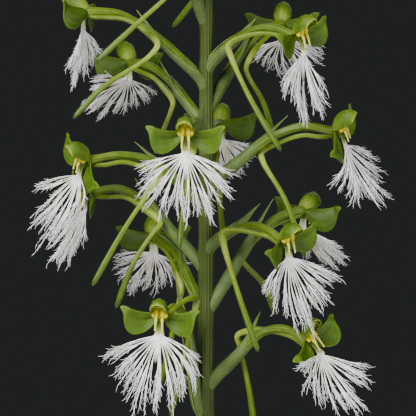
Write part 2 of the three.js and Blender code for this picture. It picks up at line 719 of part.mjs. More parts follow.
addNode("pot", pot(), COLOURS.pot);
addNode("potting_mix", soil(), COLOURS.soil);
addNode("stem_and_buds", fuse([stemBody(), ...Array.from({ length: BUDS.count }, (_, k) => bud(k)).flat()]), COLOURS.stem);
LEAVES.forEach((plan, k) => addNode(`leaf_${k + 1}`, leaf(plan), COLOURS.leaf));
for (const plan of FLOWERS) {
  addNode(`${plan.name}_green`, greenPiece(plan), COLOURS.flower);
  addNode(`${plan.name}_column`, column(plan), COLOURS.column);
  addNode(`${plan.name}_lip`, lip(plan), COLOURS.lip);
}

export default group;
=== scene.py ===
"""A potted Habenaria medioflexa orchid in flower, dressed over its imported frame.

Everything made here is in metres in the frame's own axes: +Z up, the centre of the pot's underside at the
origin, the plant's best side to -Y. The tables of sizes and places are in millimetres.
"""
import logging
import math
from collections.abc import Mapping, Sequence
from dataclasses import dataclass, field
from enum import Enum
from functools import partial
from typing import Any

import bpy
import numpy as np
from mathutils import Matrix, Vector


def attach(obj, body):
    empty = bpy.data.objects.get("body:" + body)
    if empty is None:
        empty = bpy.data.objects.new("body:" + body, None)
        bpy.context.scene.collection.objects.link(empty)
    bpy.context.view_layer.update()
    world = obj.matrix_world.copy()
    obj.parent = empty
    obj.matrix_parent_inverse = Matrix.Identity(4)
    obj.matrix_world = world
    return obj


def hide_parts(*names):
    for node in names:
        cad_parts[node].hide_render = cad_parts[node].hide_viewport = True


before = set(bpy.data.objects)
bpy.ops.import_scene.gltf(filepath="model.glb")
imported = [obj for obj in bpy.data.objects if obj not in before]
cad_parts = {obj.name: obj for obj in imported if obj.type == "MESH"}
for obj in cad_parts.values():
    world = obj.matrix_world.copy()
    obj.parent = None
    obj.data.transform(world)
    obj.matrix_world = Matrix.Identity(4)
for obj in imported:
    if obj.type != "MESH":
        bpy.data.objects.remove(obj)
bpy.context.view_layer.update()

log = logging.getLogger("orchid")

MM = 0.001
Array = np.ndarray
Vec = tuple[float, float, float]
Flat = tuple[float, float]
ROOT = "root"
# The numbers per point that the finishes read.
POINT_VALUES = ("along", "across", "side", "rib", "shade")
# How far a sheet's thinning reaches in from its sides and its tip, as shares of its width and length.
THIN_SIDES, THIN_TIP = 0.16, 0.1
BRACT_THICKNESS = 0.42


class Slot(Enum):
    """The record's material slots; this script gives no piece one."""

    POT = "pot"
    MIX = "potting_mix"
    STEM = "stem"
    LEAF = "leaf"
    GREEN = "flower_green"
    COLUMN = "column"
    LIP = "lip"


# Paths, sections and meshes


def smooth_path(points: Sequence[Sequence[float]], count: int) -> Array:
    """Runs a centripetal spline through points and spaces it evenly.

    Args:
        points: The places that the curve passes through.
        count: How many points to give back.

    Returns:
        The curve's points, one row each.
    """
    given = np.asarray(points, float)
    given = np.vstack([2 * given[0] - given[1], given, 2 * given[-1] - given[-2]])
    t = np.linspace(0, 1, 24, endpoint=False)[:, None]
    runs = []
    for a, b, c, d in zip(given, given[1:], given[2:], given[3:]):
        before, here, after = (max(float(np.linalg.norm(v)) ** 0.5, 1e-4) for v in (b - a, c - b, d - c))
        leave = ((b - a) / before - (c - a) / (before + here) + (c - b) / here) * here
        arrive = ((c - b) / here - (d - b) / (here + after) + (d - c) / after) * here
        runs.append(
            (2 * t**3 - 3 * t**2 + 1) * b
            + (t**3 - 2 * t**2 + t) * leave
            + (3 * t**2 - 2 * t**3) * c
            + (t**3 - t**2) * arrive
        )
    line = np.vstack([*runs, given[-2]])
    walked = np.concatenate([[0.0], np.cumsum(np.linalg.norm(np.diff(line, axis=0), axis=1))])
    even = np.linspace(0, walked[-1], count)
    return np.stack([np.interp(even, walked, line[:, k]) for k in range(line.shape[1])], axis=1)


def bezier(corners: Sequence[Sequence[float]], t: Array) -> Array:
    """The points of a cubic Bezier curve.

    Args:
        corners: Its two ends, with the two places that it leans towards between them.
        t: Shares of it, from 0 to 1.

    Returns:
        One point for each share.
    """
    a, b, c, d = np.asarray(corners, float)
    s = t[..., None]
    return (1 - s) ** 3 * a + 3 * (1 - s) ** 2 * s * b + 3 * (1 - s) * s**2 * c + s**3 * d


def swell(values: Sequence[float], count: int, ends: tuple[float, float] = (0.0, 0.0)) -> Array:
    """Spreads thicknesses along a path and rounds its ends off.

    Args:
        values: Evenly spaced radii.
        count: How many radii to give back.
        ends: The share of the length that each end takes to close to a round tip.

    Returns:
        One radius for each point of the path.
    """
    t = np.linspace(0, 1, count)
    knots = np.linspace(0, 1, len(values))
    radii = np.interp(t, knots, values)
    room = max(1, count // (3 * len(values)))
    padded = np.pad(radii, room, mode="edge")
    radii = np.convolve(padded, np.ones(2 * room + 1) / (2 * room + 1), mode="valid")
    for reach, distance in ((ends[0], t), (ends[1], 1 - t)):
        if reach > 0:
            radii = radii * np.sqrt(1 - (1 - np.clip(distance / reach, 0.01, 1)) ** 2)
    return radii


def smoothstep(low: float, high: float, x: Array) -> Array:
    """Eases from 0 at low to 1 at high."""
    t = np.clip((x - low) / (high - low), 0, 1)
    return t * t * (3 - 2 * t)


def write_values(mesh: bpy.types.Mesh, name: str, numbers: Array) -> None:
    """Stores a number per point of a mesh."""
    mesh.attributes.new(name, "FLOAT", "POINT").data.foreach_set("value", numbers.astype(np.float32))


def put(name: str, data: bpy.types.ID) -> bpy.types.Object:
    """Puts a mesh, a lamp or a camera into the scene.

    Args:
        name: The new object's name.
        data: What it shows or is.

    Returns:
        The new object.
    """
    thing = bpy.data.objects.new(name, data)
    bpy.context.collection.objects.link(thing)
    return thing


def evaluated(holder: bpy.types.Object) -> bpy.types.Mesh:
    """The plain mesh that an object's modifiers make."""
    graph = bpy.context.evaluated_depsgraph_get()
    return bpy.data.meshes.new_from_object(holder.evaluated_get(graph), depsgraph=graph)


@dataclass
class Shell:
    """Mesh data in millimetres: points, faces as runs of corners, a finish per face and values per point."""

    points: Array
    corners: Array
    sizes: Array
    finish: Array
    values: dict[str, Array] = field(default_factory=dict)

    @staticmethod
    def of_faces(points: Array, faces: Array, finish: int = 0, **values: Array) -> "Shell":
        """A shell from an array of faces that all have as many corners."""
        return Shell(points, faces.ravel(), np.full(len(faces), faces.shape[1]), np.full(len(faces), finish), values)

    @staticmethod
    def of_mesh(mesh: bpy.types.Mesh, finish: int = 0) -> "Shell":
        """Reads a Blender mesh back, and removes it.

        Args:
            mesh: The mesh to read, in metres.
            finish: The finish that its faces get.

        Returns:
            The same mesh as data.
        """
        points = np.empty(len(mesh.vertices) * 3)
        mesh.vertices.foreach_get("co", points)
        corners = np.empty(len(mesh.loops), dtype=np.int64)
        mesh.loops.foreach_get("vertex_index", corners)
        sizes = np.empty(len(mesh.polygons), dtype=np.int64)
        mesh.polygons.foreach_get("loop_total", sizes)
        values = {}
        for name in POINT_VALUES:
            layer = mesh.attributes.get(name)
            if layer and layer.domain == "POINT" and layer.data_type == "FLOAT":
                values[name] = np.empty(len(mesh.vertices))
                layer.data.foreach_get("value", values[name])
        bpy.data.meshes.remove(mesh)
        return Shell(points.reshape(-1, 3) / MM, corners, sizes, np.full(len(sizes), finish), values)

    @staticmethod
    def joined(shells: Sequence["Shell"]) -> "Shell":
        """Puts several shells into one.

        Args:
            shells: The shells.

        Returns:
            One shell with all their points, faces and values.
        """
        starts = np.cumsum([0] + [len(s.points) for s in shells[:-1]])
        names = sorted({name for s in shells for name in s.values})
        return Shell(
            np.vstack([s.points for s in shells]),
            np.concatenate([s.corners + start for s, start in zip(shells, starts)]),
            np.concatenate([s.sizes for s in shells]),
            np.concatenate([s.finish for s in shells]),
            {name: np.concatenate([s.values.get(name, np.zeros(len(s.points))) for s in shells]) for name in names},
        )

    def to_mesh(
        self, name: str, finishes: Sequence[bpy.types.Material] = (), crease: float | None = None
    ) -> bpy.types.Mesh:
        """Makes the Blender mesh.

        Args:
            name: The mesh's name.
            finishes: The materials that the face finishes count through.
            crease: The angle in degrees past which an edge stays sharp, or None for smooth all over.

        Returns:
            The mesh, in metres.
        """
        mesh = bpy.data.meshes.new(name)
        mesh.vertices.add(len(self.points))
        mesh.vertices.foreach_set("co", (self.points * MM).ravel())
        mesh.loops.add(len(self.corners))
        mesh.loops.foreach_set("vertex_index", self.corners.astype(np.int32))
        mesh.polygons.add(len(self.sizes))
        mesh.polygons.foreach_set("loop_start", np.concatenate([[0], np.cumsum(self.sizes)[:-1]]).astype(np.int32))
        mesh.polygons.foreach_set("material_index", self.finish.astype(np.int32))
        for label, numbers in self.values.items():
            write_values(mesh, label, numbers)
        for finish in finishes:
            mesh.materials.append(finish)
        mesh.update(calc_edges=True)
        mesh.validate()
        mesh.shade_smooth()
        if crease is not None:
            mesh.set_sharp_from_angle(angle=math.radians(crease))
        return mesh


def shares(rows: int, columns: int) -> tuple[Array, Array]:
    """The shares along and across a grid of points, from 0 to 1."""
    return np.meshgrid(np.linspace(0, 1, rows), np.linspace(0, 1, columns), indexing="ij")


def units(vectors: Array) -> Array:
    """Vectors of length 1 that point the same ways."""
    return vectors / np.linalg.norm(vectors, axis=-1, keepdims=True)


def sheet(grid: Array, thickness: float, finish: int = 0, flip: bool = False, thin: float = 0.35) -> Shell:
    """Gives a grid of points a thickness that thins towards its edges, closed all round.

    Args:
        grid: Points by length and width, (n, m, 3), in millimetres.
        thickness: The thickness at the middle.
        finish: The finish of its faces.
        flip: True where the grid's own normal points to the back of the blade.
        thin: The share of the thickness left at the edges.

    Returns:
        The closed blade, with its shares along and across, and its side, 0 for the front and 1 for the back.
    """
    rows, columns = grid.shape[:2]
    along, across = shares(rows, columns)
    normal = np.cross(np.gradient(grid, axis=0), np.gradient(grid, axis=1))
    normal /= np.linalg.norm(normal, axis=2, keepdims=True) + 1e-12
    body = smoothstep(0, THIN_SIDES, np.minimum(across, 1 - across)) * smoothstep(0, THIN_TIP, 1 - along)
    half = thickness / 2 * (thin + (1 - thin) * body)[..., None]
    points = np.vstack([(grid + normal * half).reshape(-1, 3), (grid - normal * half).reshape(-1, 3)])
    ids = np.arange(rows * columns).reshape(rows, columns)
    back = rows * columns
    quads = np.stack([ids[:-1, :-1], ids[1:, :-1], ids[1:, 1:], ids[:-1, 1:]], axis=-1).reshape(-1, 4)
    rim = np.concatenate([ids[:, 0], ids[-1, 1:], ids[-2::-1, -1], ids[0, -2:0:-1]])
    ahead = np.roll(rim, -1)
    edge = np.stack([ahead, rim, rim + back, ahead + back], axis=-1)
    faces = np.vstack([quads, quads[:, ::-1] + back, edge])
    side = np.repeat([1.0, 0.0] if flip else [0.0, 1.0], back)
    return Shell.of_faces(
        points, faces, finish, along=np.tile(along.ravel(), 2), across=np.tile(across.ravel(), 2), side=side
    )


def lathe(profile: Sequence[Sequence[float]], segments: int) -> Shell:
    """Turns a closed profile of (radius, height) pairs about Z.

    Args:
        profile: From the axis, outwards below and back to the axis above; its ends may stop short of the axis.
        segments: How many steps make the round.

    Returns:
        The turned body.
    """
    rings = np.asarray(profile, float)
    turns = np.arange(segments) * 2 * math.pi / segments
    points = np.stack(
        [
            rings[:, None, 0] * np.cos(turns),
            rings[:, None, 0] * np.sin(turns),
            np.repeat(rings[:, None, 1], segments, axis=1),
        ],
        axis=-1,
    ).reshape(-1, 3)
    ids = np.arange(len(rings) * segments).reshape(len(rings), segments)
    ahead = np.roll(ids, -1, axis=1)
    walls = np.stack([ids[:-1], ahead[:-1], ahead[1:], ids[1:]], axis=-1).reshape(-1, 4)
    corners = np.concatenate([walls.ravel(), ids[0, ::-1], ids[-1]])
    sizes = np.array([4] * len(walls) + [segments] * 2)
    return Shell(points, corners, sizes, np.zeros(len(sizes), int))


# Nodes


def linear(colour: str, alpha: float = 1.0) -> tuple[float, float, float, float]:
    """Turns an sRGB hex colour such as #6f9a2c into a linear one.

    Args:
        colour: The hex text.
        alpha: How solid it is.

    Returns:
        Red, green, blue and alpha, each from 0 to 1.
    """
    parts = [int(colour[k : k + 2], 16) / 255 for k in (1, 3, 5)]
    r, g, b = (p / 12.92 if p <= 0.04045 else ((p + 0.055) / 1.055) ** 2.4 for p in parts)
    return (r, g, b, alpha)


def per_mm(size: float) -> float:
    """The scale of a pattern whose features are this many millimetres across."""
    return 1 / (size * MM)


def pick(sockets: Any, key: int | str | None = None) -> bpy.types.NodeSocket:
    """Finds a live socket.

    Args:
        sockets: A node's inputs or outputs.
        key: Its place, name or identifier, or None for the first live one.

    Returns:
        The socket.
    """
    if isinstance(key, int):
        return sockets[key]
    live = [s for s in sockets if s.enabled and not s.is_unavailable]
    return next(s for s in live if key is None or key in (s.name, s.identifier))


def feed_node(tree: bpy.types.NodeTree, node: bpy.types.Node, feeds: Mapping[int | str, Any]) -> None:
    """Feeds a node's inputs.

    Args:
        tree: The tree that it is in.
        node: The node.
        feeds: Per input, a value, a hex colour, a socket, a node whose first output is meant, or a list to join.
    """
    for key, value in feeds.items():
        socket = pick(node.inputs, key)
        for feed in value if isinstance(value, list) else [value]:
            if isinstance(feed, bpy.types.Node):
                feed = pick(feed.outputs)
            if isinstance(feed, bpy.types.NodeSocket):
                tree.links.new(feed, socket)
            else:
                is_colour = isinstance(feed, str) and feed.startswith("#")
                socket.default_value = linear(feed) if is_colour else feed


def add_node(
    tree: bpy.types.NodeTree, kind: str, feeds: Mapping[int | str, Any] | None = None, **settings: Any
) -> bpy.types.Node:
    """Adds a node with its settings, and feeds its inputs.

    Args:
        tree: The tree to add it to.
        kind: The node's Blender type.
        feeds: Per input, what feed_node takes.
        **settings: The node's own settings.

    Returns:
        The new node.
    """
    node = tree.nodes.new(kind)
    for name, value in settings.items():
        setattr(node, name, value)
    feed_node(tree, node, feeds or {})
    return node


# Finishes


def start_material(name: str) -> tuple[bpy.types.NodeTree, bpy.types.Node]:
    """Starts a material.

    Args:
        name: The material's name.

    Returns:
        Its node tree and its main shader.
    """
    material = bpy.data.materials.new(name)
    material.use_nodes = True
    tree = material.node_tree
    return tree, tree.nodes["Principled BSDF"]


def clouds(tree: bpy.types.NodeTree, size: float, detail: float = 3.0, stretch: Vec = (1, 1, 1)) -> bpy.types.Node:
    """A cloudy pattern over the object, from 0 to 1.

    Args:
        tree: The material's tree.
        size: How many millimetres across its features are.
        detail: How many finer octaves it has.
        stretch: How much denser it is along each axis.

    Returns:
        The node that gives the pattern.
    """
    place = add_node(tree, "ShaderNodeTexCoord").outputs["Object"]
    place = add_node(tree, "ShaderNodeMapping", {"Vector": place, "Scale": stretch})
    return add_node(tree, "ShaderNodeTexNoise", {"Vector": place, "Scale": per_mm(size), "Detail": detail})


def patches(tree: bpy.types.NodeTree, size: float, detail: float, low: float, high: float) -> bpy.types.Node:
    """Patches over the object, from 0 to 1: clouds with more contrast.

    Args:
        tree: The material's tree.
        size: How many millimetres across the clouds are.
        detail: How many finer octaves they have.
        low: The clouds' value that becomes 0.
        high: The clouds' value that becomes 1.

    Returns:
        The node that gives the pattern.
    """
    return add_node(
        tree, "ShaderNodeMapRange", {"Value": clouds(tree, size, detail), "From Min": low, "From Max": high}
    )


def set_stops(ramp: bpy.types.Node, stops: Sequence[tuple[float, str]]) -> None:
    """Gives a ramp the colours that it runs through.

    Args:
        ramp: The ramp's node.
        stops: Each colour's place, from 0 to 1, and its hex text.
    """
    marks = ramp.color_ramp.elements
    while len(marks) < len(stops):
        marks.new(0.5)
    for mark, (place, colour) in zip(marks, stops):
        mark.position = place
        mark.color = linear(colour)


class Lines(Enum):
    """What a plant skin's fine lines follow."""

    VEINS = "across"
    RIDGES = "rib"


@dataclass(frozen=True)
class PlantSkin:
    """Living plant skin: a waxy cuticle over soft cells that let some light in, with lines along it."""

    name: str
    stops: tuple[tuple[float, str], ...]
    back: str
    line: str
    lines: Lines = Lines.VEINS
    line_count: float = 7.0
    line_share: float = 0.35
    edge: str | None = None
    # How strong its flecks are, then the size of its patches and the size and height of its cells in mm. Real cells
    # are some 0.05 mm across, which wouldn't show, so they are drawn this coarse.
    mottle: float = 0.22
    mottle_size: float = 2.4
    cell: float = 0.35
    relief: float = 0.06
    roughness: float = 0.46
    glow: float = 0.12
    # The back's share of its own colour, where the pale rim starts across the skin, and the lines' height.
    back_share: float = 0.75
    edge_start: float = 0.43
    line_height: float = 0.45
    shade: str = "#d8d8c0"
    # Wax over cells: its refraction and sheen, and how far red, green and blue light travel in it, in mm.
    refraction: float = 1.44
    sheen: float = 0.26
    travel: Vec = (0.6, 1.0, 0.25)

    def build(self) -> bpy.types.Material:
        """Makes the material.

        Returns:
            The material.
        """
        tree, shader = start_material(self.name)
        add = partial(add_node, tree)
        along, side, lines = (
            add("ShaderNodeAttribute", attribute_name=name).outputs["Fac"]
            for name in ("along", "side", self.lines.value)
        )
        if self.lines is Lines.VEINS:
            lines = add("ShaderNodeMath", {0: lines, 1: 2 * math.pi * self.line_count}, operation="MULTIPLY")
            lines = add("ShaderNodeMath", {0: lines}, operation="COSINE")
        # Patches break the lines up, as veins that lie at different depths.
        shown = add("ShaderNodeMapRange", {"Value": lines, "From Min": 0.1, "From Max": 1.0})
        shown = add("ShaderNodeMath", {0: shown, 1: patches(tree, 1.6, 2, 0.25, 0.65)}, operation="MULTIPLY")
        shown = add("ShaderNodeMath", {0: shown, 1: self.line_share}, operation="MULTIPLY")
        back = add("ShaderNodeMath", {0: side, 1: self.back_share}, operation="MULTIPLY")
        layers = [(back, self.back), (shown, self.line)]
        if self.edge:
            rim = add("ShaderNodeAttribute", attribute_name="across").outputs["Fac"]
            rim = add("ShaderNodeMath", {0: rim, 1: 0.5}, operation="SUBTRACT")
            rim = add("ShaderNodeMath", {0: rim}, operation="ABSOLUTE")
            rim = add("ShaderNodeMapRange", {"Value": rim, "From Min": self.edge_start, "From Max": 0.5})
            layers.append((rim, self.edge))
        colour = add("ShaderNodeValToRGB", {"Fac": along})
        set_stops(colour, self.stops)
        for share, tint in layers:
            colour = add("ShaderNodeMix", {"Factor": share, "A": colour, "B": tint}, data_type="RGBA")
        dimmed = {"Factor": 1.0, "A": colour, "B": self.shade}
        dimmed = add("ShaderNodeMix", dimmed, data_type="RGBA", blend_type="MULTIPLY")
        mottled = {"Factor": patches(tree, self.mottle_size, 4, 0.3, 0.7), "A": colour, "B": dimmed}
        colour = add("ShaderNodeMix", mottled, data_type="RGBA")
        flecks = patches(tree, self.cell * 1.6, 2, 0.5, 0.8)
        flecks = add("ShaderNodeMath", {0: flecks, 1: self.mottle}, operation="MULTIPLY")
        colour = add("ShaderNodeMix", {"Factor": flecks, "A": colour, "B": self.line}, data_type="RGBA")
        height = add("ShaderNodeMath", {0: lines, 1: self.line_height}, operation="MULTIPLY")
        height = add("ShaderNodeMath", {0: clouds(tree, self.cell, 2), 1: height}, operation="ADD")
        relief = add("ShaderNodeBump", {"Strength": 0.6, "Distance": self.relief * MM, "Height": height})
        feed_node(
            tree, shader,
            {
                "Base Color": colour, "Normal": relief, "Roughness": self.roughness, "IOR": self.refraction,
                "Specular IOR Level": self.sheen, "Subsurface Weight": self.glow,
                "Subsurface Radius": tuple(v * MM for v in self.travel), "Subsurface Scale": 1.0,
            },
        )
        return bpy.data.materials[self.name]


# Ridged flower stem under a bluish bloom of wax: greyed, matt, with darker furrows.
STEM_SKIN = PlantSkin(
    "waxy_ridged_stem",
    ((0.0, "#2b370c"), (0.45, "#313e0e"), (0.8, "#374411"), (1.0, "#3d4d13")),
    "#313e0e", "#4a581e", Lines.RIDGES, line_share=0.5, mottle_size=5.0, cell=0.5, relief=0.1, roughness=0.56,
)
# Bract: a thin leaf with the same grey bloom and fine parallel veins, paler at its rim.
BRACT_SKIN = PlantSkin(
    "glaucous_bract",
    ((0.0, "#5d6b3e"), (0.2, "#55663a"), (0.5, "#4d6031"), (0.85, "#53652d"), (1.0, "#5d6128")),
    "#485b2b", "#64773b", line_count=9, line_share=0.45, edge="#687b3c", roughness=0.58,
)
# Stalk with its ovary: smooth, satin, ribbed green.
STALK_SKIN = PlantSkin(
    "ribbed_ovary",
    ((0.0, "#44540f"), (0.25, "#455d0e"), (0.6, "#495f10"), (0.85, "#506311"), (1.0, "#566a14")),
    "#3f540c", "#617a26", Lines.RIDGES, line_share=0.6, roughness=0.46,
)
# Spur: a thin-walled nectar tube, olive, with a pale swollen knee and a darker tip.
SPUR_SKIN = PlantSkin(
    "nectar_spur",
    (
        (0.0, "#596a17"), (0.27, "#61741a"), (0.36, "#5f7218"), (0.44, "#8e9c42"), (0.58, "#6d801f"),
        (0.75, "#51670f"), (0.93, "#415a0a"), (1.0, "#283904"),
    ),
    "#516711", "#71841d", Lines.RIDGES, line_share=0.4, roughness=0.4, glow=0.2,
)
# Lateral sepal: fleshy and satin, deeper green in its middle, with a pale hooked tip.
SEPAL_SKIN = PlantSkin(
    "fleshy_sepal",
    ((0.0, "#465f05"), (0.25, "#3f5804"), (0.7, "#425c03"), (0.9, "#4b6805"), (1.0, "#677e0c")),
    "#304703", "#4b6707", line_count=4, line_share=0.35, edge="#4e6706", mottle_size=1.8, roughness=0.55, glow=0.18,
)
# Hood: the dorsal sepal, its back to the light, with a paler crimped rim.
HOOD_SKIN = PlantSkin(
    "hooded_sepal",
    (
        (0.0, "#74852c"), (0.2, "#6f8226"), (0.42, "#4b620c"), (0.6, "#3a5306"), (0.9, "#49610b"),
        (0.96, "#728320"), (1.0, "#9ca544"),
    ),
    "#47600a", "#566d0c", line_count=5, line_share=0.4, edge="#687c0e", mottle_size=1.8, roughness=0.55,
)
# Petal inside the hood: thin, yellowish green where it holds the column.
PETAL_SKIN = PlantSkin(
    "inner_petal",
    ((0.0, "#4e5f09"), (0.7, "#56670a"), (1.0, "#768316")),
    "#56670a", "#62730d", line_count=4, line_share=0.3, roughness=0.48, glow=0.25,
)
# Flower throat: shaded dark green.
THROAT_SKIN = PlantSkin(
    "shaded_throat", ((0.0, "#324903"), (1.0, "#4a5f07")), "#324903", "#415604", Lines.RIDGES, roughness=0.5
)
# Leaf blade: soft leather-like green with many parallel veins, paler under it and yellower at its sheath.
LEAF_SKIN = PlantSkin(
    "strap_leaf_blade",
    ((0.0, "#526d13"), (0.12, "#45630d"), (0.4, "#3a5b0a"), (0.85, "#3b5d0b"), (0.97, "#4e690e"), (1.0, "#636913")),
    "#506d13", "#537213", line_count=13, line_share=0.4, edge="#567313", mottle_size=9.0, cell=0.6, relief=0.12,
    roughness=0.4, glow=0.08,
)
# Anther: waxy, bright egg yellow.
ANTHER_SKIN = PlantSkin(
    "waxy_anther", ((0.0, "#c7b90e"), (0.6, "#d0c212"), (1.0, "#c6bf16")), "#c4b40d", "#ded624", Lines.RIDGES,
    line_share=0.3, mottle_size=0.9, cell=0.2, relief=0.04, roughness=0.42, glow=0.25,
)
# Stigma: a moist cushion between the anther cells, yellow above and olive in the shade below.
STIGMA_SKIN = PlantSkin(
    "moist_stigma", ((0.0, "#a89a12"), (0.45, "#a39a16"), (0.75, "#7e8410"), (1.0, "#4f5c08")), "#9a9412", "#b0a81c",
    Lines.RIDGES, line_share=0.3, mottle_size=0.9, cell=0.2, relief=0.03, roughness=0.36, glow=0.25,
)
# Prongs of the column: translucent cream yellow with pale sticky tips.
PRONG_SKIN = PlantSkin(
    "cream_prong", ((0.0, "#cdc034"), (0.45, "#d4cd56"), (0.85, "#dcd878"), (1.0, "#e6e498")), "#d4cd56", "#e6e488",
    Lines.RIDGES, line_share=0.3, mottle_size=0.9, cell=0.2, relief=0.03, roughness=0.38, glow=0.3,
)
# Fringe: white petal tissue, a single layer of soft cells, matt with the faintest lilac shade.
FRINGE_SKIN = PlantSkin(
    "white_petal_fringe", ((0.0, "#f3f1ef"), (0.5, "#f6f3f6"), (1.0, "#efedf4")), "#f3f0f2", "#fbfafc", Lines.RIDGES,
    line_share=0.3, mottle=0.1, mottle_size=1.5, cell=0.25, relief=0.03, roughness=0.6, glow=0.2,
)
# Claw and middle lobe: green where it leaves the throat, white below, greyed and darker towards its tip.
CLAW_SKIN = PlantSkin(
    "claw_and_middle_lobe",
    (
        (0.0, "#465b0c"), (0.2, "#52660e"), (0.3, "#98a44a"), (0.4, "#eceade"), (0.5, "#f1eeee"),
        (0.74, "#e6e3e6"), (0.86, "#a39e98"), (1.0, "#6a645a"),
    ),
    "#c9cfa8", "#d2d6b8", line_count=3, line_share=0.12, mottle=0.1, mottle_size=1.5, roughness=0.55, glow=0.2,
)


@dataclass(frozen=True)
class MouldedPolypropylene:
    """The pot: injection-moulded polypropylene in terracotta brown, satin, with a fine matt texture and lime marks."""

    name: str = "moulded_polypropylene"
    body: str = "#a5593c"
    worn: str = "#ae6649"
    lime: str = "#c3a48e"
    # The mould's texture in mm. It is drawn coarser than the real 0.1 mm, which wouldn't show.
    texture: float = 0.5
    speck_share: float = 0.18
    relief: float = 0.1
    roughness: float = 0.5
    crust_roughness: float = 0.8
    crust_share: float = 0.34
    refraction: float = 1.49
    # The heights, in metres, between which the crust at the rim and the crust at the foot fade in.
    rim_crust: tuple[float, float] = (0.078, 0.106)
    foot_crust: tuple[float, float] = (0.016, 0.0)

    def build(self) -> bpy.types.Material:
        """Makes the material.

        Returns:
            The material.
        """
        tree, shader = start_material(self.name)
        add = partial(add_node, tree)
        worn = {"Factor": patches(tree, 26, 4, 0.35, 0.7), "A": self.body, "B": self.worn}
        colour = add("ShaderNodeMix", worn, data_type="RGBA")
        grain = clouds(tree, self.texture, 2)
        specks = add("ShaderNodeMapRange", {"Value": grain, "From Min": 0.5, "From Max": 0.8})
        specks = add("ShaderNodeMath", {0: specks, 1: self.speck_share}, operation="MULTIPLY")
        colour = add("ShaderNodeMix", {"Factor": specks, "A": colour, "B": self.worn}, data_type="RGBA")
        place = add("ShaderNodeTexCoord").outputs["Object"]
        height = add("ShaderNodeSeparateXYZ", {"Vector": place}).outputs["Z"]
        # Hard water leaves a faint crust that fades down from the rim and stands up from the foot.
        near_rim, near_foot = (
            add("ShaderNodeMapRange", {"Value": height, "From Min": start, "From Max": end})
            for start, end in (self.rim_crust, self.foot_crust)
        )
        crust = add("ShaderNodeMath", {0: near_rim, 1: near_foot}, operation="MAXIMUM")
        crust = add("ShaderNodeMath", {0: crust, 1: patches(tree, 7, 6, 0.5, 0.72)}, operation="MULTIPLY")
        lime = add("ShaderNodeMath", {0: crust, 1: self.crust_share}, operation="MULTIPLY")
        colour = add("ShaderNodeMix", {"Factor": lime, "A": colour, "B": self.lime}, data_type="RGBA")
        # Flow lines run up the wall from the gate under the base.
        flow = add("ShaderNodeMath", {0: clouds(tree, 9, 3, (1, 1, 0.06)), 1: 0.7}, operation="MULTIPLY")
        height = add("ShaderNodeMath", {0: grain, 1: flow}, operation="ADD")
        relief = add("ShaderNodeBump", {"Strength": 0.55, "Distance": self.relief * MM, "Height": height})
        shine = add("ShaderNodeMapRange", {"Value": crust, "To Min": self.roughness, "To Max": self.crust_roughness})
        feed_node(tree, shader, {"Base Color": colour, "Normal": relief, "Roughness": shine, "IOR": self.refraction})
        return bpy.data.materials[self.name]


@dataclass(frozen=True)
class PottingMixFinish:
    """Fir bark or the coir and peat under it: dry, matt, each chip of its own brown, with a fibrous grain."""

    name: str
    dark: str
    middle: str
    light: str
    grain: float
    relief: float
    # The grain and its relief are in mm, some three times the real fibres', which wouldn't show. Then come how much
    # of the tone is each chip's own, how much varies within it, and how dark the gaps in its grain are.
    own_tone: float = 0.75
    inner_tone: float = 0.35
    gap_share: float = 0.6
    roughness: float = 0.92
    refraction: float = 1.5

    def build(self) -> bpy.types.Material:
        """Makes the material.

        Returns:
            The material.
        """
        tree, shader = start_material(self.name)
        add = partial(add_node, tree)
        own = add("ShaderNodeAttribute", attribute_name="shade").outputs["Fac"]
        own = add("ShaderNodeMath", {0: own, 1: self.own_tone}, operation="MULTIPLY")
        within = add("ShaderNodeMath", {0: clouds(tree, self.grain * 4, 4), 1: self.inner_tone}, operation="MULTIPLY")
        colour = add("ShaderNodeValToRGB", {"Fac": add("ShaderNodeMath", {0: own, 1: within}, operation="ADD")})
        set_stops(colour, ((0.1, self.dark), (0.5, self.middle), (0.95, self.light)))
        fibre = clouds(tree, self.grain, 5, (1, 0.25, 1))
        gaps = add("ShaderNodeMapRange", {"Value": fibre, "From Min": 0.45, "From Max": 0.75})
        gaps = add("ShaderNodeMath", {0: gaps, 1: self.gap_share}, operation="MULTIPLY")
        colour = add("ShaderNodeMix", {"Factor": gaps, "A": colour, "B": self.dark}, data_type="RGBA")
        relief = add("ShaderNodeBump", {"Strength": 0.9, "Distance": self.relief * MM, "Height": fibre})
        feed_node(
            tree, shader,
            {"Base Color": colour, "Normal": relief, "Roughness": self.roughness, "IOR": self.refraction},
        )
        return bpy.data.materials[self.name]


COIR = PottingMixFinish("coir_and_peat", "#2c1d13", "#4a3322", "#6d5137", 0.7, 0.8)
BARK = PottingMixFinish("fir_bark_chips", "#3a2416", "#6b452a", "#a37a50", 0.9, 0.5)


Finish = PlantSkin | MouldedPolypropylene | PottingMixFinish


# Geometry trees


def start_tree(name: str, inputs: Mapping[str, str]) -> tuple[bpy.types.NodeTree, Any]:
    """Starts a geometry tree that takes a mesh and a material, and gives a mesh back.

    Args:
        name: The tree's name.
        inputs: Per named input, its kind of socket.

    Returns:
        The tree and the sockets of its inputs.
    """
    tree = bpy.data.node_groups.new(name, "GeometryNodeTree")
    tree.interface.new_socket(name="Geometry", in_out="INPUT", socket_type="NodeSocketGeometry")
    tree.interface.new_socket(name="Geometry", in_out="OUTPUT", socket_type="NodeSocketGeometry")
    for label, kind in {**inputs, "Material": "Material"}.items():
        tree.interface.new_socket(name=label, in_out="INPUT", socket_type=f"NodeSocket{kind}")
    return tree, add_node(tree, "NodeGroupInput").outputs


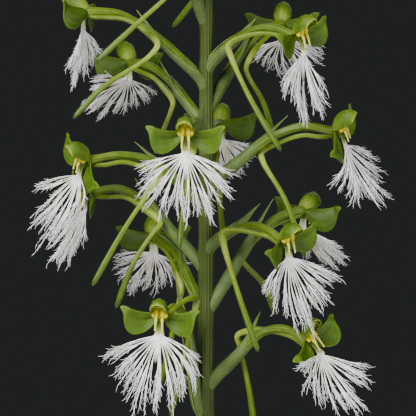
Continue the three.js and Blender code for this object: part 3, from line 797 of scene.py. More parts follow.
def end_tree(tree: bpy.types.NodeTree, mesh: bpy.types.Node, given: Any) -> bpy.types.NodeTree:
    """Ends a geometry tree in real mesh data that wears the material given.

    Args:
        tree: The tree.
        mesh: The node that gives the finished geometry.
        given: The sockets of the tree's inputs.

    Returns:
        The finished tree.
    """
    real = add_node(tree, "GeometryNodeRealizeInstances", {"Geometry": mesh})
    dressed = add_node(tree, "GeometryNodeSetMaterial", {"Geometry": real, "Material": given["Material"]})
    add_node(tree, "NodeGroupOutput", {"Geometry": dressed})
    return tree


def shifted(tree: bpy.types.NodeTree, geometry: Any, size: float, detail: float, reach: Any) -> bpy.types.Node:
    """Shifts the points by a smooth noise.

    Args:
        tree: The tree.
        geometry: What is shifted.
        size: How many millimetres across the noise's features are.
        detail: How many finer octaves it has.
        reach: How far it shifts, from one side to the other, in metres.

    Returns:
        The node whose output is the shifted geometry.
    """
    place = add_node(tree, "GeometryNodeInputPosition")
    cloud = add_node(tree, "ShaderNodeTexNoise", {"Vector": place, "Scale": per_mm(size), "Detail": detail})
    centred = {0: cloud.outputs["Color"], 1: (0.5, 0.5, 0.5)}
    shift = add_node(tree, "ShaderNodeVectorMath", centred, operation="SUBTRACT")
    shift = add_node(tree, "ShaderNodeVectorMath", {0: shift, "Scale": reach}, operation="SCALE")
    return add_node(tree, "GeometryNodeSetPosition", {"Geometry": geometry, "Offset": shift})


def swept(tree: bpy.types.NodeTree, curve: bpy.types.Node, ring: bpy.types.Node) -> bpy.types.Node:
    """Sweeps a section along curves, as thick as their own girth says, with closed ends.

    Args:
        tree: The tree.
        curve: The curves, which carry their girth.
        ring: The section, 1 in radius.

    Returns:
        The node that gives the swept mesh.
    """
    girth = add_node(tree, "GeometryNodeInputNamedAttribute", {"Name": "girth"}, data_type="FLOAT")
    feeds = {"Curve": curve, "Profile Curve": ring, "Scale": girth, "Fill Caps": True}
    return add_node(tree, "GeometryNodeCurveToMesh", feeds)


def grow(tree: bpy.types.NodeTree, seed_mesh: bpy.types.Mesh, inputs: Mapping[str, Any], finish: int = 0) -> Shell:
    """Runs a geometry tree on a mesh.

    Args:
        tree: The tree.
        seed_mesh: What it grows from; it is removed afterwards.
        inputs: A value for each named input.
        finish: The finish that the result's faces get in the piece that they join.

    Returns:
        The grown mesh as data.
    """
    holder = put("seedling", seed_mesh)
    modifier = holder.modifiers.new("grow", "NODES")
    modifier.node_group = tree
    for item in tree.interface.items_tree:
        if item.in_out == "INPUT" and item.name in inputs:
            modifier[item.identifier] = inputs[item.name]
    mesh = evaluated(holder)
    bpy.data.objects.remove(holder)
    bpy.data.meshes.remove(seed_mesh)
    return Shell.of_mesh(mesh, finish)


def path_mesh(paths: Sequence[Array], values: Mapping[str, Sequence[Array]]) -> bpy.types.Mesh:
    """A mesh of loose edges along paths.

    Args:
        paths: Each path's points, in millimetres.
        values: Per name, one array of numbers for each path.

    Returns:
        The mesh, in metres, for a tree to grow from.
    """
    mesh = bpy.data.meshes.new("paths")
    starts = np.cumsum([0] + [len(p) for p in paths])
    steps = [np.stack([np.arange(a, b - 1), np.arange(a + 1, b)], axis=1) for a, b in zip(starts, starts[1:])]
    edges = np.vstack(steps)
    mesh.vertices.add(int(starts[-1]))
    mesh.vertices.foreach_set("co", (np.vstack(paths) * MM).ravel())
    mesh.edges.add(len(edges))
    mesh.edges.foreach_set("vertices", edges.ravel().astype(np.int32))
    for name, numbers in values.items():
        write_values(mesh, name, np.concatenate(numbers))
    mesh.update()
    return mesh


def tube_tree() -> bpy.types.NodeTree:
    """Ridged tubes along loose edges, as thick as the edges' own girth says, in metres, with closed ends.

    Returns:
        The tree, which takes its sides, ridges, their depth as a share of the radius, and a twist.
    """
    tree, given = start_tree("ridged_tube", {"Sides": "Int", "Ridges": "Int", "Ridge depth": "Float", "Twist": "Float"})
    add = partial(add_node, tree)
    share = add("GeometryNodeSplineParameter").outputs["Factor"]
    curve = add("GeometryNodeMeshToCurve", {"Mesh": given["Geometry"]})
    twist = add("ShaderNodeMath", {0: share, 1: given["Twist"]}, operation="MULTIPLY")
    curve = add("GeometryNodeSetCurveTilt", {"Curve": curve, "Tilt": twist})
    curve = add("GeometryNodeStoreNamedAttribute", {"Geometry": curve, "Name": "along", "Value": share})
    turn = add("ShaderNodeMath", {0: share, 1: given["Ridges"]}, operation="MULTIPLY")
    turn = add("ShaderNodeMath", {0: turn, 1: 2 * math.pi}, operation="MULTIPLY")
    rib = add("ShaderNodeMath", {0: turn}, operation="COSINE")
    ring = add("GeometryNodeCurvePrimitiveCircle", {"Resolution": given["Sides"], "Radius": 1.0})
    ring = add("GeometryNodeStoreNamedAttribute", {"Geometry": ring, "Name": "rib", "Value": rib})
    proud = add("GeometryNodeInputNamedAttribute", {"Name": "rib"}, data_type="FLOAT")
    proud = add("ShaderNodeMath", {0: proud, 1: given["Ridge depth"]}, operation="MULTIPLY")
    offset = add("ShaderNodeVectorMath", {0: add("GeometryNodeInputPosition"), "Scale": proud}, operation="SCALE")
    ring = add("GeometryNodeSetPosition", {"Geometry": ring, "Offset": offset})
    return end_tree(tree, swept(tree, curve, ring), given)


def fringe_tree() -> bpy.types.NodeTree:
    """Petal strands along loose edges, with finer hairs that leave both edges of each strand past a share of it.

    Returns:
        The tree, which takes the hairs' spacing, length, radius and wave, the way that the lip faces and a seed.
    """
    tree, given = start_tree(
        "forked_fringe",
        {
            "Spacing": "Float", "Hair": "Float", "Hair radius": "Float", "Wave": "Float", "Face": "Vector",
            "Seed": "Int",
        },
    )
    add = partial(add_node, tree)
    share = add("GeometryNodeSplineParameter").outputs["Factor"]
    along, bare = (
        add("GeometryNodeInputNamedAttribute", {"Name": name}, data_type="FLOAT") for name in ("along", "bare")
    )
    strands = add("GeometryNodeMeshToCurve", {"Mesh": given["Geometry"]})
    strands = add("GeometryNodeStoreNamedAttribute", {"Geometry": strands, "Name": "along", "Value": share})
    dots = add("GeometryNodeCurveToPoints", {"Curve": strands, "Length": given["Spacing"]}, mode="LENGTH")
    naked = add("ShaderNodeMath", {0: along, 1: bare}, operation="LESS_THAN")
    hairy = add("GeometryNodeDeleteGeometry", {"Geometry": dots, "Selection": naked}, domain="POINT")
    lie = add("FunctionNodeAlignRotationToVector", {"Vector": dots.outputs["Tangent"]}, axis="Z")
    lie = add(
        "FunctionNodeAlignRotationToVector", {"Rotation": lie, "Vector": given["Face"]}, axis="X", pivot_axis="Z"
    )
    # Half of the hairs leave to each side, 90 degrees from the way that the lip faces, more or less.
    side = add("FunctionNodeRandomValue", {"Min": 0.0, "Max": 1.0, "Seed": given["Seed"]}, data_type="FLOAT")
    side = add("ShaderNodeMath", {0: side}, operation="ROUND")
    side = add("ShaderNodeMath", {0: side, 1: math.pi}, operation="MULTIPLY")
    later, last = (add("ShaderNodeMath", {0: given["Seed"], 1: n}, operation="ADD") for n in (11.0, 23.0))
    stray = add("FunctionNodeRandomValue", {"Min": 0.5, "Max": 2.64, "Seed": later}, data_type="FLOAT")
    angle = add("ShaderNodeMath", {0: side, 1: stray}, operation="ADD")
    spin = add("FunctionNodeAxisAngleToRotation", {"Axis": (0, 0, 1), "Angle": angle})
    lie = add("FunctionNodeRotateRotation", {"Rotation": lie, "Rotate By": spin}, rotation_space="LOCAL")
    hair = add(
        "GeometryNodeCurveQuadraticBezier",
        {"Resolution": 4, "Start": (0, 0, -0.02), "Middle": (0.14, 0, 0.5), "End": (0.42, 0, 0.92)},
    )
    thin = add("ShaderNodeMapRange", {"Value": share, "To Min": 1.0, "To Max": 0.35})
    thin = add("ShaderNodeMath", {0: thin, 1: given["Hair radius"]}, operation="MULTIPLY")
    far = add("ShaderNodeMapRange", {"Value": share, "To Min": 0.6, "To Max": 1.0})
    for name, value in (("girth", thin), ("along", far)):
        hair = add("GeometryNodeStoreNamedAttribute", {"Geometry": hair, "Name": name, "Value": value})
    # The last hairs of a strand are its own split end, so they are the shortest.
    ends = {"Value": along, "From Min": 0.7, "From Max": 1.0, "To Min": 1.0, "To Max": 0.55}
    length = add("FunctionNodeRandomValue", {"Min": 0.4, "Max": 1.0, "Seed": last}, data_type="FLOAT")
    for factor in (add("ShaderNodeMapRange", ends), given["Hair"]):
        length = add("ShaderNodeMath", {0: length, 1: factor}, operation="MULTIPLY")
    standing = {"Points": hairy, "Instance": hair, "Rotation": lie, "Scale": length}
    hairs = add("GeometryNodeRealizeInstances", {"Geometry": add("GeometryNodeInstanceOnPoints", standing)})
    wave = add("ShaderNodeMath", {0: share, 1: given["Wave"]}, operation="MULTIPLY")
    both = [
        swept(tree, curves, add("GeometryNodeCurvePrimitiveCircle", {"Resolution": sides, "Radius": 1.0}))
        for curves, sides in ((shifted(tree, hairs, 2.2, 1.0, wave), 3), (strands, 5))
    ]
    return end_tree(tree, add("GeometryNodeJoinGeometry", {"Geometry": both}), given)


def chip_tree() -> bpy.types.NodeTree:
    """Rough bark chips that lie on the upward faces of a bed, inside a radius.

    Returns:
        The tree, which takes how far apart they lie, the radius, their sizes, their roughness and a seed.
    """
    tree, given = start_tree(
        "bark_chips",
        {
            "Apart": "Float", "Reach": "Float", "Smallest": "Vector", "Largest": "Vector", "Roughness": "Float",
            "Seed": "Int",
        },
    )
    add = partial(add_node, tree)
    flat = add("ShaderNodeVectorMath", {0: add("GeometryNodeInputPosition"), 1: (1, 1, 0)}, operation="MULTIPLY")
    away = add("ShaderNodeVectorMath", {0: flat}, operation="LENGTH").outputs["Value"]
    inside = add("ShaderNodeMath", {0: away, 1: given["Reach"]}, operation="LESS_THAN")
    upward = add("ShaderNodeSeparateXYZ", {"Vector": add("GeometryNodeInputNormal")}).outputs["Z"]
    upward = add("ShaderNodeMath", {0: upward, 1: 0.5}, operation="GREATER_THAN")
    here = add("ShaderNodeMath", {0: inside, 1: upward}, operation="MULTIPLY")
    dots = add(
        "GeometryNodeDistributePointsOnFaces",
        {
            "Mesh": given["Geometry"], "Distance Min": given["Apart"], "Density Max": 200000.0,
            "Density Factor": here, "Seed": given["Seed"],
        },
        distribute_method="POISSON",
    )
    tilts = {"Min": (-0.55, -0.55, 0.0), "Max": (0.55, 0.55, 6.28), "Seed": 3}
    turn = add("FunctionNodeRandomValue", tilts, data_type="FLOAT_VECTOR")
    turn = add("FunctionNodeEulerToRotation", {"Euler": turn})
    sizes = {"Min": given["Smallest"], "Max": given["Largest"], "Seed": 5}
    size = add("FunctionNodeRandomValue", sizes, data_type="FLOAT_VECTOR")
    corners = {f"Vertices {axis}": 3 for axis in "XYZ"}
    block = add("GeometryNodeMeshCube", {"Size": (1, 1, 1), **corners})
    lying = {"Points": dots, "Instance": block, "Rotation": turn, "Scale": size}
    shade = add("FunctionNodeRandomValue", {"Min": 0.0, "Max": 1.0, "Seed": 9}, data_type="FLOAT")
    toned = {"Geometry": add("GeometryNodeInstanceOnPoints", lying), "Name": "shade", "Value": shade}
    chips = add("GeometryNodeStoreNamedAttribute", toned, domain="INSTANCE")
    chips = add("GeometryNodeRealizeInstances", {"Geometry": chips})
    return end_tree(tree, shifted(tree, chips, 3.4, 2.0, given["Roughness"]), given)


@dataclass
class Workshop:
    """The trees and finished materials that every piece shares."""

    tube: bpy.types.NodeTree = field(default_factory=tube_tree)
    fringe: bpy.types.NodeTree = field(default_factory=fringe_tree)
    chips: bpy.types.NodeTree = field(default_factory=chip_tree)
    finishes: dict[str, bpy.types.Material] = field(default_factory=dict)

    def finish(self, kind: Finish) -> bpy.types.Material:
        """Gives a finish's material, made once.

        Args:
            kind: The finish.

        Returns:
            Its material.
        """
        if kind.name not in self.finishes:
            self.finishes[kind.name] = kind.build()
        return self.finishes[kind.name]

    def finish_piece(
        self, name: str, node: str, shells: Sequence[Shell], kinds: Sequence[Finish],
        crease: float | None = None,
    ) -> None:
        """Joins shells into one dressed mesh, and puts it into the scene as the piece that stands for a CAD node.

        Args:
            name: The piece's name.
            node: The CAD node that it replaces.
            shells: Its parts, in place.
            kinds: The finishes that the shells' faces count through.
            crease: The angle in degrees past which an edge stays sharp, or None for smooth all over.
        """
        mesh = Shell.joined(shells).to_mesh(name, [self.finish(kind) for kind in kinds], crease)
        piece = put(name, mesh)
        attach(piece, ROOT)
        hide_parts(node)
        mesh.calc_loop_triangles()
        log.info("%s: %d triangles", name, len(mesh.loop_triangles))

    def tubes(
        self, paths: Sequence[Array], girths: Sequence[Array], sides: int, ridges: int = 5, depth: float = 0.0,
        twist: float = 0.0, finish: int = 0,
    ) -> Shell:
        """Makes ridged tubes.

        Args:
            paths: Each tube's centre line, in millimetres.
            girths: Each tube's radii, in millimetres.
            sides: How many sides they have.
            ridges: How many ridges run along them.
            depth: The ridges' height as a share of the radius.
            twist: How far the ridges turn on the way, in radians.
            finish: The finish of their faces.

        Returns:
            The tubes.
        """
        mesh = path_mesh(paths, {"girth": [g * MM for g in girths]})
        return grow(
            self.tube, mesh, {"Sides": sides, "Ridges": ridges, "Ridge depth": depth, "Twist": twist}, finish
        )


# The pot and what is in it


@dataclass
class Pot:
    """A round moulded pot: a tapered wall with a stepped band under its rim, and drain holes in its floor."""

    height: float = 104
    base_radius: float = 40
    rim_radius: float = 58
    band: float = 20
    step: float = 2.6
    wall: float = 3
    floor: float = 4
    drain_radius: float = 4
    drain_circle: float = 25
    drains: int = 4
    hub: float = 12.0
    segments: int = 112

    def inner_radius(self, z: float) -> float:
        """The inside radius at a height."""
        outer = self.base_radius + (self.rim_radius - self.step - self.base_radius) * z / self.height
        return outer - self.wall

    def outer_radius(self, z: float) -> float:
        """The outside radius at a height, below the band."""
        return self.inner_radius(z) + self.wall

    def profile(self) -> list[tuple[float, float]]:
        """The turned outline, with its edges rounded as a mould leaves them.

        Returns:
            Its radii and heights.
        """
        foot, top = self.height - self.band, self.height
        rim, inner, under = self.rim_radius, self.inner_radius(top), self.outer_radius(foot)
        arc = [(math.sin(math.radians(a)), math.cos(math.radians(a))) for a in (0, 22, 45, 68, 90)]
        # The radii of the rounded edges at the foot, and outside and inside the rim.
        heel, lip, throat = 1.6, 1, 0.8
        return [
            (self.hub, 0.7), (self.hub + 1, 0.0),
            *[(self.base_radius - heel + heel * s, heel - heel * c) for s, c in arc],
            *[(self.outer_radius(z), z) for z in (24, 48, foot - 4)],
            (under - 0.05, foot - 0.5), (under + 0.2, foot - 0.05),
            (under + self.step - 0.5, foot + 0.55), (under + self.step, foot + 1.1),
            (rim - 0.35, top - 3.4), (rim - 0.1, top - 3.0),
            *[(rim - lip + s, top - lip + c) for s, c in reversed(arc)],
            *[(inner + throat - throat * s, top - throat + throat * c) for s, c in arc],
            *[(self.inner_radius(z), z) for z in (top - 8, 50, self.floor + 1.5)],
            (self.inner_radius(self.floor) - 1.5, self.floor),
            (self.hub, self.floor),
        ]

    def build(self, shop: Workshop) -> None:
        """Turns the pot, bores its drains and dresses it.

        Args:
            shop: The shared trees and finishes.
        """
        turned = put("turned_pot", lathe(self.profile(), self.segments).to_mesh("turned_pot"))
        bits = []
        for k in range(self.drains):
            turn = (k + 0.5) * 2 * math.pi / self.drains
            bit = lathe([(self.drain_radius, -4), (self.drain_radius, 2 * self.floor)], 40)
            bit.points += (self.drain_circle * math.cos(turn), self.drain_circle * math.sin(turn), 0)
            bits.append(bit)
        drill = put("drill", Shell.joined(bits).to_mesh("drill"))
        bore = turned.modifiers.new("drains", "BOOLEAN")
        bore.operation, bore.solver, bore.object = "DIFFERENCE", "EXACT", drill
        mesh = evaluated(turned)
        for tool in (turned, drill):
            bpy.data.objects.remove(tool)
        shop.finish_piece("moulded_pot", "pot", [Shell.of_mesh(mesh)], [MouldedPolypropylene()], crease=38)


@dataclass(frozen=True)
class Strewing:
    """Chips strewn over a bed: how far apart and inside what radius, their sizes and their roughness, in mm."""

    apart: float
    reach: float
    smallest: Vec
    largest: Vec
    roughness: float
    seed: int

    def on(self, bed: Shell, shop: Workshop, finish: int) -> Shell:
        """Strews them.

        Args:
            bed: What they lie on.
            shop: The shared trees and finishes.
            finish: The finish of their faces.

        Returns:
            The chips.
        """
        low, high = (tuple(v * MM for v in size) for size in (self.smallest, self.largest))
        inputs = {
            "Apart": self.apart * MM, "Reach": self.reach * MM, "Smallest": low, "Largest": high,
            "Roughness": self.roughness * MM, "Seed": self.seed,
        }
        return grow(shop.chips, bed.to_mesh("bed"), inputs, finish)


@dataclass
class PottingMix:
    """The filled mix: a lumpy bed of coir and peat with bark chips over it, and the stem's hole."""

    pot: Pot
    top: float = 94
    swell: float = 3.2
    lumps: float = 1.1
    hole_floor: float = 50
    hole_radius: float = 2.95
    segments: int = 160
    chips: Strewing = Strewing(3.4, 45.5, (4, 3, 1.6), (11, 7, 3.6), 3.2, 4)
    crumbs: Strewing = Strewing(2.4, 49, (1.2, 1.0, 0.7), (3.4, 2.4, 1.6), 1.6, 8)

    def level(self, x: Array, y: Array) -> Array:
        """The height of the bed's surface.

        Args:
            x: Places along X, in millimetres.
            y: Places along Y.

        Returns:
            The heights.
        """
        away = np.hypot(x, y)
        rise = np.interp(away, [3.7, 14, 28, 41, 50.5], [1, 0.95, 0.7, 0.4, 0])
        broad = self.lumps * np.sin(0.41 * x + 1) * np.cos(0.37 * y - 0.08 * x)
        fine = 0.35 * np.sin(1.9 * x + 0.7 * y) * np.sin(1.7 * y - 0.5 * x + 2)
        return self.top + self.swell * rise + broad * np.clip((away - 3.2) / 4, 0, 1) + fine

    def bed(self) -> Shell:
        """The bed under the chips.

        Returns:
            Its closed body, with the stem's hole.
        """
        floor = self.pot.floor + 0.3
        heights = (floor, floor + 1.4, 50, 90, self.top)
        wall = [self.pot.inner_radius(z) - 0.35 for z in heights]
        surface_radii = np.linspace(wall.pop(), self.hole_radius, 44)
        wall[0] -= 1.2
        rings = [*zip(wall, heights), *[(r, self.top) for r in surface_radii], (self.hole_radius, self.hole_floor)]
        body = lathe(rings, self.segments)
        x, y, z = body.points.T
        surface = np.abs(z - self.top) < 1e-6
        body.points[surface, 2] = self.level(x[surface], y[surface])
        return body

    def build(self, shop: Workshop) -> None:
        """Makes the bed and strews the bark.

        Args:
            shop: The shared trees and finishes.
        """
        bed = self.bed()
        shells = [bed, self.crumbs.on(bed, shop, 0), self.chips.on(bed, shop, 1)]
        shop.finish_piece("bark_mix", "potting_mix", shells, [COIR, BARK], crease=40)


# The stem and its leaves


@dataclass
class Stem:
    """The ridged flower stem with the closed buds at its top."""

    path: tuple[Vec, ...] = (
        (0, 0, 50.3), (0, 0, 100), (1.6, 0.8, 170), (0.9, 0.5, 240), (0, 0, 300), (0, 0, 404), (-0.7, 0.3, 452),
    )
    heights: tuple[float, ...] = (50, 110, 240, 300, 404, 452)
    radii: tuple[float, ...] = (3.1, 3.0, 2.4, 1.95, 1.5, 0.75)
    buds: int = 5
    first_bud: float = 411
    last_bud: float = 449
    first_angle: float = 12
    turn: float = 137.5
    bud_loss: float = 0.55
    # The low swelling under each flower's bract: its height, and its half length along the stem.
    swelling: float = 0.14
    swelling_reach: float = 3.2
    ridges: int = 14
    ridge_depth: float = 0.035

    def radius(self, z: float | Array) -> float | Array:
        """The stem's radius at a height."""
        return np.interp(z, self.heights, self.radii)

    def centre(self, z: float) -> Array:
        """The stem's centre at a height."""
        line = smooth_path(self.path, 400)
        return np.array([np.interp(z, line[:, 2], line[:, k]) for k in range(3)])

    def bud(self, shop: Workshop, k: int) -> list[Shell]:
        """A closed bud on its ribbed stalk, with its spur and its bract.

        Args:
            shop: The shared trees and finishes.
            k: Its place, counted from the lowest.

        Returns:
            The bud, its spur and its bract.
        """
        share = k / (self.buds - 1)
        centre = self.centre(self.first_bud + (self.last_bud - self.first_bud) * share**0.85)
        angle = math.radians(self.first_angle + k * self.turn)
        out = np.array([math.cos(angle), math.sin(angle), 0])
        size = 1 - self.bud_loss * share

        def at(r: float, z: float) -> Array:
            """A place of the bud, by its distance from the stem's centre and its height."""
            return centre + out * r * size + np.array([0, 0, z * size])

        stalk = smooth_path([at(0, 0), at(3.4, 6), at(7, 12), at(11, 15.5), at(18.36, 16.5)], 44)
        girth = size * swell([0.85, 0.85, 0.95, 1.05, 0.95, 1.9, 2.05, 1.1], 44, (0, 0.16))
        spur = smooth_path([at(9.6, 14.4), at(8.4, 11.6), at(9.2, 8.2), at(10.2, 5.4)], 20)
        return [
            shop.tubes([stalk], [girth], 20, 6, 0.07, 1.2, finish=1),
            shop.tubes([spur], [size * swell([0.7, 0.62, 0.7, 0.55], 20, (0, 0.2))], 10, finish=2),
            bract_sheet(stalk, at(5.5, 17), size * 1.25, size * 0.95, finish=3, leaves=0.34),
        ]

    def build(self, shop: Workshop) -> None:
        """Makes the stem and its buds.

        Args:
            shop: The shared trees and finishes.
        """
        line = smooth_path(self.path, 190)
        girth = self.radius(line[:, 2])
        # A low swelling under each flower's bract keeps the stem from being a plain rod.
        for plan in FLOWERS:
            away = (line[:, 2] - plan.stalk[0][2] + 2) / self.swelling_reach
            girth = girth + self.swelling * np.exp(-(away**2))
        girth[-8:] *= np.linspace(1, 0.35, 8)
        shells = [shop.tubes([line], [girth], 72, self.ridges, self.ridge_depth)]
        for k in range(self.buds):
            shells += self.bud(shop, k)
        finishes = [STEM_SKIN, STALK_SKIN, SPUR_SKIN, BRACT_SKIN]
        shop.finish_piece("stem_skin", "stem_and_buds", shells, finishes)


@dataclass
class Leaf:
    """A strap leaf: its sheath wraps the stem, its blade arches out in a channel and its tip droops."""

    number: int
    height: float
    angle: float
    length: float
    width: float
    out: float
    up: float
    sheath: float = 20
    thickness: float = 0.8
    wrap: float = 112
    sheath_wrap: float = 172
    # How far its middle surface stands off the stem, in mm, and its waves, ripples and channel as shares of its width.
    clearance: float = 0.62
    wave: float = 0.022
    ripple: float = 0.012
    channel: float = 0.055

    def grid(self, stem: Stem) -> Array:
        """The leaf's middle surface, from the foot of its sheath to its tip.

        Args:
            stem: The stem that it clasps.

        Returns:
            Points by length and width, in millimetres.
        """
        centre = stem.centre(self.height)
        outward = np.array([math.cos(math.radians(self.angle)), math.sin(math.radians(self.angle)), 0])
        side = np.array([-outward[1], outward[0], 0])
        hug = float(stem.radius(self.height)) + self.clearance
        size = self.length
        reach = (hug, hug + 0.06 * size, 0.5 * size, self.out * size)
        rise = (0, 0.42 * size, (self.up + 0.34) * size, self.up * size)
        corners = [centre + outward * r + np.array([0, 0, z]) for r, z in zip(reach, rise)]
        u, v = shares(64, 25)
        point = bezier(corners, u)
        tangent = units(np.gradient(point, axis=0))
        normal = np.cross(tangent, side)
        opened = smoothstep(0.05, 0.4, u)
        outline = np.clip(np.sin(math.pi * (0.02 + 0.98 * u) ** 0.72), 0, 1) ** 0.85
        half = math.radians(self.wrap) * hug * (1 - u) * (1 - opened) + self.width / 2 * outline * opened
        half += 0.5 * (1 - u) + 0.06
        radius = hug * (1 - opened) + max(self.width * 0.9, 8) * opened
        across = 2 * v - 1
        turn = np.minimum(half / radius, math.radians(self.wrap)) * across
        edge_turn = np.where(v > 0.5, 1.7, 0)
        wave = opened * (1 - u) * self.wave * self.width * np.sin(17 * u + edge_turn) * np.abs(across)
        ripple = self.ripple * self.width * opened * np.sin(31 * u + 3 * across + self.number) * across**2 * (1 - u)
        crease = -self.channel * self.width * opened * np.exp(-((across / 0.16) ** 2)) * (1 - u) ** 0.3
        lift = radius * (1 - np.cos(turn)) + wave + ripple + crease
        blade = point + side * (radius * np.sin(turn))[..., None] + normal * lift[..., None]
        # The sheath below the blade closes round the stem and thins away downwards.
        down = np.linspace(1, 0, 12, endpoint=False)[:, None]
        loose, closed = math.radians(self.wrap), math.radians(self.sheath_wrap)
        hold = loose + (closed - loose) * smoothstep(0, 0.35, down)
        theta = hold * np.linspace(-1, 1, 25)[None, :]
        tube = hug - 0.22 * down
        foot = centre + np.array([0, 0, -self.sheath]) * down[..., None]
        foot = foot + outward * (tube * np.cos(theta))[..., None] + side * (tube * np.sin(theta))[..., None]
        return np.concatenate([foot, blade])

    def build(self, shop: Workshop, stem: Stem) -> None:
        """Makes the leaf.

        Args:
            shop: The shared trees and finishes.
            stem: The stem that it clasps.
        """
        node = f"leaf_{self.number}"
        blade = sheet(self.grid(stem), self.thickness, thin=0.4)
        shop.finish_piece(f"{node}_blade", node, [blade], [LEAF_SKIN])


LEAVES = (
    Leaf(1, 112, 205, 138, 27, 0.84, 0.16),
    Leaf(2, 128, 335, 158, 30, 0.86, 0.2),
    Leaf(3, 148, 105, 156, 28, 0.82, 0.28),
    Leaf(4, 172, 245, 132, 23, 0.76, 0.36),
    Leaf(5, 200, 18, 98, 17, 0.66, 0.5),
    Leaf(6, 232, 158, 66, 11, 0.5, 0.66),
)


def bract_sheet(
    stalk: Array, tip: Array, hold: float, end: float, finish: int = 0, leaves: float = 0.42,
    clasp: tuple[float, float] = (170, 112),
) -> Shell:
    """A bract: it sheathes the stalk's first part, then leaves it as a free pointed tip.

    Args:
        stalk: The stalk's centre line, in millimetres.
        tip: The place of the bract's tip.
        hold: The sheath's radius.
        end: The sheath's radius where it leaves the stalk.
        finish: The finish of its faces.
        leaves: The share of the stalk's length where it leaves.
        clasp: How far it reaches round the stalk to each side, in degrees, halfway up its sheath and at its end.

    Returns:
        The closed blade.
    """
    count = len(stalk)
    last = int(leaves * count)
    tip = np.asarray(tip, float)
    free = [stalk[last - 4], stalk[last] + 0.18 * (tip - stalk[last]), stalk[last] + 0.6 * (tip - stalk[last]), tip]
    line = smooth_path([*stalk[: last - 4 : 4], *free], 40)
    tangent = units(np.gradient(line, axis=0))
    # The bract's back lies on the side of the stalk that its free tip stands on.
    away = tip - stalk[last]
    spine = units(away - tangent * (tangent @ away)[:, None])
    for k in range(len(spine) - 2, -1, -1):
        own = spine[k + 1] - tangent[k] * (tangent[k] @ spine[k + 1])
        spine[k] = own / np.linalg.norm(own)
    flank = np.cross(tangent, spine)
    u = np.linspace(0, 1, 40)
    part = last / count / leaves * 0.6
    radii = [hold * 0.85, hold, end * 1.05, end * 0.62, end * 0.2]
    radius = np.interp(u, [0, 0.5 * part, part, 0.8, 1], radii)
    reach = np.radians(np.interp(u, [0, 0.55 * part, part * 1.05, 0.85, 1], [176, *clasp, 70, 28]))
    v = np.linspace(-1, 1, 17)
    theta = reach[:, None] * v[None, :]
    # Past the place where it leaves, the arc hangs from its back instead of round the stalk.
    sink = radius * 0.55 * smoothstep(part * 0.9, 1.0, u)
    grid = line[:, None] - spine[:, None] * sink[:, None, None]
    grid = grid + spine[:, None] * (radius[:, None] * np.cos(theta))[..., None]
    grid = grid + flank[:, None] * (radius[:, None] * np.sin(theta))[..., None]
    return sheet(grid, BRACT_THICKNESS, finish, thin=0.45)


# The flowers


@dataclass(frozen=True)
class LipPlan:
    """How one lip hangs: its swing forward, half spread, turn to one side, length and fold, in degrees and mm.

    behind is how far each side lobe bends back towards the stem, in degrees, the left one seen from in front first.
    """

    swing: float
    spread: float
    turn: float
    length: float
    fold: float
    behind: tuple[float, float] = (0, 0)


@dataclass(frozen=True)
class FlowerPlan:
    """Where one flower's parts are, in mm, and the way that it faces.

    left and right are how far each lateral sepal, seen from in front, droops and turns forward, and clasp is how far
    the bract reaches round the stalk, all in degrees.
    """

    name: str
    stalk: tuple[Vec, ...]
    spur: tuple[Vec, ...]
    bract: Vec
    face: float
    pitch: float
    roll: float
    lip: LipPlan
    left: tuple[float, float] = (0, 0)
    right: tuple[float, float] = (0, 0)
    clasp: tuple[float, float] = (170, 112)


